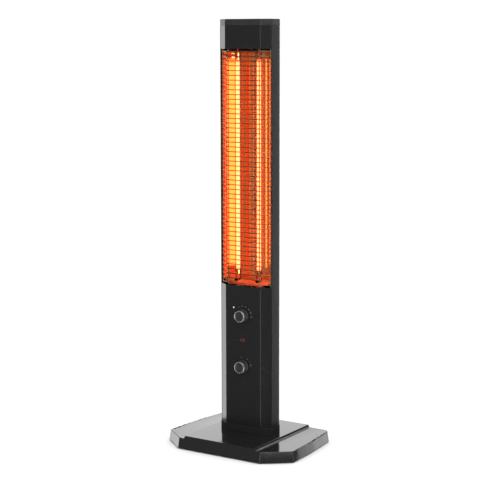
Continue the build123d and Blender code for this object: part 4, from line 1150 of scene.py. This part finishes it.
@dataclass
class Controls:
    """Both rotary controls, the pilot lamp and the printed dials."""

    ink: float = 0.05 * MM
    flutes: int = 20
    skirt: float = 13.5 * MM
    grip: float = 9.9 * MM
    ring: float = 11.0 * MM
    bead: float = 1.5 * MM
    bead_steps: int = 8
    face_inset: float = 0.1 * MM
    pointers: tuple[tuple[str, Body, float], ...] = (
        ("regulator", Body.REGULATOR, 93.0), ("selector", Body.SELECTOR, 75.0))
    # Outlines in millimetres: distance from the panel and step from the skirt's radius; the same
    # from the grip's with a flute's depth; the same from the ring's rear; drop from the face and radius.
    skirt_line: tuple[tuple[float, float], ...] = (
        (0, -0.5), (0.3, -0.1), (0.8, 0), (1.5, -0.1), (2.1, -0.5), (2.5, -1.2))
    grip_foot: tuple[Point, ...] = ((2.6, 0.8, 0), (2.9, 0.15, 0.1), (3.6, 0, 0.6))
    grip_top: tuple[Point, ...] = ((-0.7, -0.1, 0.6), (-0.1, -0.3, 0.2))
    face_line: tuple[tuple[float, float], ...] = (
        (0.2, 8.9), (0.4, 8.3), (1.3, 7.3), (1.6, 6.2), (1.6, 0.4))
    dome: float = 4.0 * MM
    dome_rise: float = 1.5 * MM
    dome_steps: int = 7
    stem_share: float = 0.72
    power_marks: int = 6
    power_start: float = -31.0
    power_sweep: float = 124.0
    power_reach: tuple[float, float] = (17.5 * MM, 19.0 * MM)
    power_growth: float = 0.35 * MM
    power_stroke: float = 1.1 * MM
    step_angles: tuple[tuple[float, int], ...] = ((-11, 1), (32, 1), (75, 2))
    step_reach: tuple[float, float] = (16.8 * MM, 19.4 * MM)
    step_spread: float = 7.0
    step_stroke: float = 0.8 * MM
    off_place: Point = (-21.2 * MM, 0, 14.2 * MM)
    off_radius: float = 1.5 * MM

    def build(self) -> None:
        """Builds the knobs and their rings, dresses the rest and prints the dials."""
        for name, body, pointer in self.pointers:
            self.knob(name, body, pointer)
        dress(SHAFT_STEEL, "regulator_shaft", "selector_shaft")
        dress(NUT_STEEL, "regulator_nut", "selector_nut")
        dress(PHENOLIC, "regulator_body", "selector_body", "pilot_lamp_body")
        self.lens()
        self.dials()

    def knob(self, name: str, body: Body, pointer: float) -> None:
        """Fluted knob with a skirt and a dished face, and the bright ring round its front.

        Args:
            name: regulator or selector.
            body: the body that it turns with.
            pointer: clock angle of its pointer in degrees, seen from the front.
        """
        low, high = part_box(f"{name}_knob")
        ring_low, ring_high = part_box(f"{name}_knob_ring")
        centre = middle(low, high, high.y)
        ring_rear, ring_front = high.y - ring_high.y, high.y - ring_low.y
        front = high.y - low.y - self.face_inset
        outer, inner, half = self.ring, self.ring - self.bead, self.bead / 2
        profile = [(along * MM, self.skirt + step * MM) for along, step in self.skirt_line]
        for start, outline in ((0, self.grip_foot), (ring_rear, self.grip_top)):
            profile += [(start + along * MM, self.grip + step * MM, cut * MM) for along, step, cut in outline]
        profile += [(ring_rear, inner), (front - 0.5 * MM, inner)]
        profile += [(front - drop * MM, radius * MM) for drop, radius in self.face_line]
        stroke = self.bar(centre - Vector((0, front - 1.0 * MM, 0)), pointer, (5.2 * MM, 9.2 * MM),
                          1.6 * MM, 0.75 * MM)
        made = Shaper.piece(f"{name}_grip", *Shaper.merge([
            Shaper.lathe(profile, centre, "Y", self.flutes * 8, flutes=self.flutes), stroke]),
            KNOB_MOULDING, body, 38)
        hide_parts(f"{name}_knob")
        bevel = 0.15 * MM
        bead = [(ring_rear, inner), (ring_rear, outer - bevel), (ring_rear + bevel, outer)]
        for i in range(self.bead_steps + 1):
            turn = math.pi * i / self.bead_steps
            bead.append((ring_front - half + half * math.sin(turn), outer - half + half * math.cos(turn)))
        hoop = Shaper.lathe(bead, centre, "Y", 96, hoop=True)
        made = Shaper.piece(f"{name}_ring", *hoop, KNOB_CHROME, body, 50)
        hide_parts(f"{name}_knob_ring")
        notch = self.bar(centre - Vector((0, ring_front - 0.35 * MM, 0)), pointer, (inner, outer + 0.1 * MM),
                         1.9 * MM, 0.45 * MM)
        Shaper.piece(f"{name}_pointer", *notch, KNOB_MOULDING, body)

    def lens(self) -> None:
        """Domed pilot lens with a flange."""
        low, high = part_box("pilot_lamp_lens")
        radius = (high.x - low.x) / 2
        proud, stem = high.y - low.y, radius * self.stem_share
        flange = proud - self.dome_rise
        profile = [(0, stem), (proud - 2.4 * MM, stem), (proud - 2.35 * MM, radius),
                   (proud - 1.7 * MM, radius), (flange, radius - 0.25 * MM), (flange, self.dome)]
        for i in range(1, self.dome_steps + 1):
            turn = math.pi / 2 * i / self.dome_steps
            profile.append((flange + self.dome_rise * math.sin(turn),
                            max(0.2 * MM, self.dome * math.cos(turn))))
        made = Shaper.piece("pilot_dome", *Shaper.lathe(profile, middle(low, high, high.y), "Y", 40),
                            PILOT_RED)
        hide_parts("pilot_lamp_lens")

    def centre(self, node: str) -> Vector:
        """Point on the front panel behind the middle of a knob."""
        return middle(*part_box(node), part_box("control_panel")[0].y)

    def bar(self, middle: Vector, angle: float, reach: tuple[float, float], width: float,
            half: Optional[float] = None) -> Mesh:
        """Stroke that points away from the middle of a dial.

        Args:
            middle: centre of the dial on the panel.
            angle: clock angle in degrees, seen from the front.
            reach: distance of its two ends from the centre.
            width: width of the stroke.
            half: half its thickness, or the ink's if none is given.

        Returns:
            Points and faces.
        """
        half = self.ink if half is None else half
        turn = math.radians(angle)
        out = Vector((math.sin(turn), 0, math.cos(turn)))
        side = Vector((math.cos(turn), 0, -math.sin(turn))) * (width / 2)
        verts = []
        for y in (-half, half):
            for distance, sign in ((reach[0], -1), (reach[0], 1), (reach[1], 1), (reach[1], -1)):
                verts.append(middle + out * distance + side * sign + Vector((0, y, 0)))
        faces = [(0, 1, 2, 3), (4, 5, 6, 7)] + [(i, (i + 1) % 4, (i + 1) % 4 + 4, i + 4) for i in range(4)]
        return verts, faces

    def dials(self) -> None:
        """Marks round the upper knob and three positions round the lower one."""
        upper = self.centre("regulator_knob")
        lower = self.centre("selector_knob")
        marks = []
        for i in range(self.power_marks):
            angle = self.power_start + self.power_sweep * i / (self.power_marks - 1)
            reach = (self.power_reach[0], self.power_reach[1] + self.power_growth * i)
            marks.append(self.bar(upper, angle, reach, self.power_stroke))
        for angle, strokes in self.step_angles:
            for k in range(strokes):
                shift = (k - (strokes - 1) / 2) * self.step_spread
                marks.append(self.bar(lower, angle + shift, self.step_reach, self.step_stroke))
        Shaper.piece("dial_marks", *Shaper.merge(marks), DIAL_INK)
        disc = Shaper.lathe([(-self.ink, self.off_radius), (self.ink, self.off_radius)],
                            upper + Vector(self.off_place), "Y", 24)
        Shaper.piece("off_mark", *disc, DIAL_INK_BRIGHT)


@dataclass
class Foot:
    """Both halves of the foot and everything under them."""

    round: float = 1.1 * MM
    edge: float = 0.9 * MM

    def build(self) -> None:
        """Dresses the foot."""
        for node in ("base_left_half", "base_right_half"):
            Shaper.soften(node, BASE_MOULDING, self.round, self.edge, least=30.0)
        dress(ZINC_SHEET, "base_tie_plate")
        dress(SCREW_STEEL, "base_screws", "column_bolts")
        dress(BLACK_RUBBER, "rubber_feet")
        dress(PHENOLIC, "tip_switch_body")
        dress(ACETAL, "tip_switch_plunger")
        dress(SPRING_STEEL, "tip_switch_spring")


@dataclass
class Electrics:
    """Terminals and wiring inside the column."""

    def build(self) -> None:
        """Dresses the inner electrical pieces."""
        dress(NYLON, "terminal_block")
        dress(PHENOLIC, "thermal_cutout")
        dress(SILICONE, "lamp_leads", "return_leads", "control_leads")


def ease(corners: Sequence[tuple[float, float]], radius: float, steps: int) -> Line:
    """Rounds the inner corners of an open line.

    Args:
        corners: (x, y) corner points.
        radius: radius of each bend.
        steps: points along each bend, less one.

    Returns:
        The line with its bends as short chords.
    """
    line = [corners[0]]
    for before, here, after in zip(corners, corners[1:], corners[2:]):
        at = Vector(here)
        inward, outward = (Vector(before) - at).normalized(), (Vector(after) - at).normalized()
        half = inward.angle(outward) / 2
        cut = radius / math.tan(half)
        start, end = at + inward * cut, at + outward * cut
        for i in range(steps + 1):
            share = i / steps
            spot = start * (1 - share) ** 2 + at * 2 * share * (1 - share) + end * share ** 2
            line.append((spot.x, spot.y))
    line.append(corners[-1])
    return line


# ---------------------------------------------------------------- studio


@dataclass(frozen=True)
class SoftPanel:
    """A soft bright area that reflections see in one direction."""

    bearing: float
    half_width: float
    low: float
    high: float
    level: float
    blur: float = 8.0
    rise: float = 0.06

    def glow(self, x: "Value", y: "Value", z: "Value") -> "Value":
        """Brightness towards a direction.

        Args:
            x: level part of the direction, to the right.
            y: level part of the direction, to the rear.
            z: upward part of the direction.

        Returns:
            Its share of the brightness.
        """
        turn = math.radians(self.bearing)
        along = x * math.sin(turn) + y * math.cos(turn)
        inner = math.cos(math.radians(max(0.0, self.half_width - self.blur / 2)))
        outer = math.cos(math.radians(self.half_width + self.blur / 2))
        band = z.ramp(self.low - self.rise / 2, self.low + self.rise / 2)
        band = band * z.ramp(self.high - self.rise / 2, self.high + self.rise / 2, 1.0, 0.0)
        return along.ramp(outer, inner) * band * self.level


@dataclass
class Studio:
    """Pale floor, soft light and the camera."""

    room_glow: float = 0.045
    fill: float = 1.25
    key_power: float = 20.0
    key_place: Point = (1.4, -1.0, 2.4)
    key_target: Point = (0, 0, 0.3)
    key_size: tuple[float, float] = (1.8, 1.8)
    floor_reach: float = 14.0
    floor_gap: float = 0.2 * MM
    floor_colour: Colour = (0.86, 0.86, 0.86)
    panels: tuple[SoftPanel, ...] = (
        SoftPanel(-83, 13, -0.50, 0.10, 2.8),
        SoftPanel(-34, 34, 0.06, 0.62, 1.7),
        SoftPanel(-58, 16, 0.16, 0.62, 0.9),
        SoftPanel(33, 20, -0.60, 0.10, 0.04),
        SoftPanel(20, 7, -0.30, 0.12, 1.8, blur=5),
        SoftPanel(128, 9, 0.0, 0.16, 3.6, blur=5, rise=0.03),
        SoftPanel(-20, 8, -0.6, 0.06, 4.5, blur=6),
        SoftPanel(167, 4, -0.6, 0.1, 5.5, blur=4),
        SoftPanel(78, 8, -0.6, 0.1, 2.6),
        SoftPanel(-147, 14, -0.6, 0.1, 0.10),
    )
    heading: float = 32.5
    pitch: float = 8.2
    camera_at: Point = (1.4699, -2.2468, 0.7889)
    lens: float = 101.27
    shift: tuple[float, float] = (-0.0282, -0.0171)

    def build(self) -> None:
        """Builds the stage."""
        self.floor()
        self.surroundings()
        self.key()
        self.camera()

    def floor(self) -> None:
        """Large pale floor that the heater stands on."""
        mesh = bpy.data.meshes.new("floor")
        far = self.floor_reach
        mesh.from_pydata([(-far, -far, 0), (far, -far, 0), (far, far, 0), (-far, far, 0)], [], [(0, 1, 2, 3)])
        made = bpy.data.objects.new("floor", mesh)
        bpy.context.scene.collection.objects.link(made)
        made.location.z = CAD_BOX[0][2] - self.floor_gap
        graph = Graph("floor_paint")
        paint = graph.node("ShaderNodeBsdfDiffuse", None, {"Color": self.floor_colour})
        mesh.materials.append(graph.finish(paint))
        made.visible_glossy = False

    def surroundings(self) -> None:
        """White surroundings; reflections see a dim room with soft panels in it."""
        world = bpy.data.worlds.new("studio")
        bpy.context.scene.world = world
        world.use_nodes = True
        graph = Graph.of_tree(world.node_tree)
        direction = graph.tint("ShaderNodeTexCoord", None, {}, "Generated")
        split = graph.node("ShaderNodeSeparateXYZ", None, {"Vector": direction})
        x, y, z = (Value(graph, split.outputs[i]) for i in range(3))
        flat = (x * x + y * y + TINY) ** 0.5
        seen = z * 0 + self.room_glow
        for panel in self.panels:
            seen = seen + panel.glow(x / flat, y / flat, z)
        path = graph.node("ShaderNodeLightPath")
        is_gloss = Value(graph, path.outputs["Is Glossy Ray"])
        is_diffuse = Value(graph, path.outputs["Is Diffuse Ray"])
        level = is_gloss * seen + (1 - is_gloss) * (1 + is_diffuse * (self.fill - 1))
        shade = graph.node("ShaderNodeBackground", None, {"Color": (1, 1, 1), "Strength": level})
        out = graph.node("ShaderNodeOutputWorld")
        graph.tree.links.new(shade.outputs[0], out.inputs[0])

    def key(self) -> None:
        """One large soft light from above on the front right."""
        data = bpy.data.lights.new("key", "AREA")
        data.shape = "RECTANGLE"
        data.size, data.size_y = self.key_size
        data.energy = self.key_power
        made = bpy.data.objects.new("key", data)
        bpy.context.scene.collection.objects.link(made)
        made.location = self.key_place
        toward = Vector(self.key_target) - Vector(self.key_place)
        made.rotation_euler = toward.to_track_quat("-Z", "Y").to_euler()

    def camera(self) -> None:
        """Camera at a three-quarter view from the front right."""
        data = bpy.data.cameras.new("camera")
        data.lens = self.lens
        data.shift_x, data.shift_y = self.shift
        made = bpy.data.objects.new("camera", data)
        bpy.context.scene.collection.objects.link(made)
        made.location = self.camera_at
        made.rotation_euler = (math.radians(90 - self.pitch), 0, math.radians(self.heading))
        bpy.context.scene.camera = made


def main() -> None:
    """Builds the heater and its stage in order."""
    logging.basicConfig(level=logging.INFO, format="%(message)s")
    bpy.context.scene.view_settings.view_transform = "Standard"
    for assembly in (Studio(), ColumnShell(), HeatingChamber(), WireGuard(), Controls(), Foot(), Electrics()):
        log.info("building %s", type(assembly).__name__)
        assembly.build()


if __name__ == "__main__":
    main()
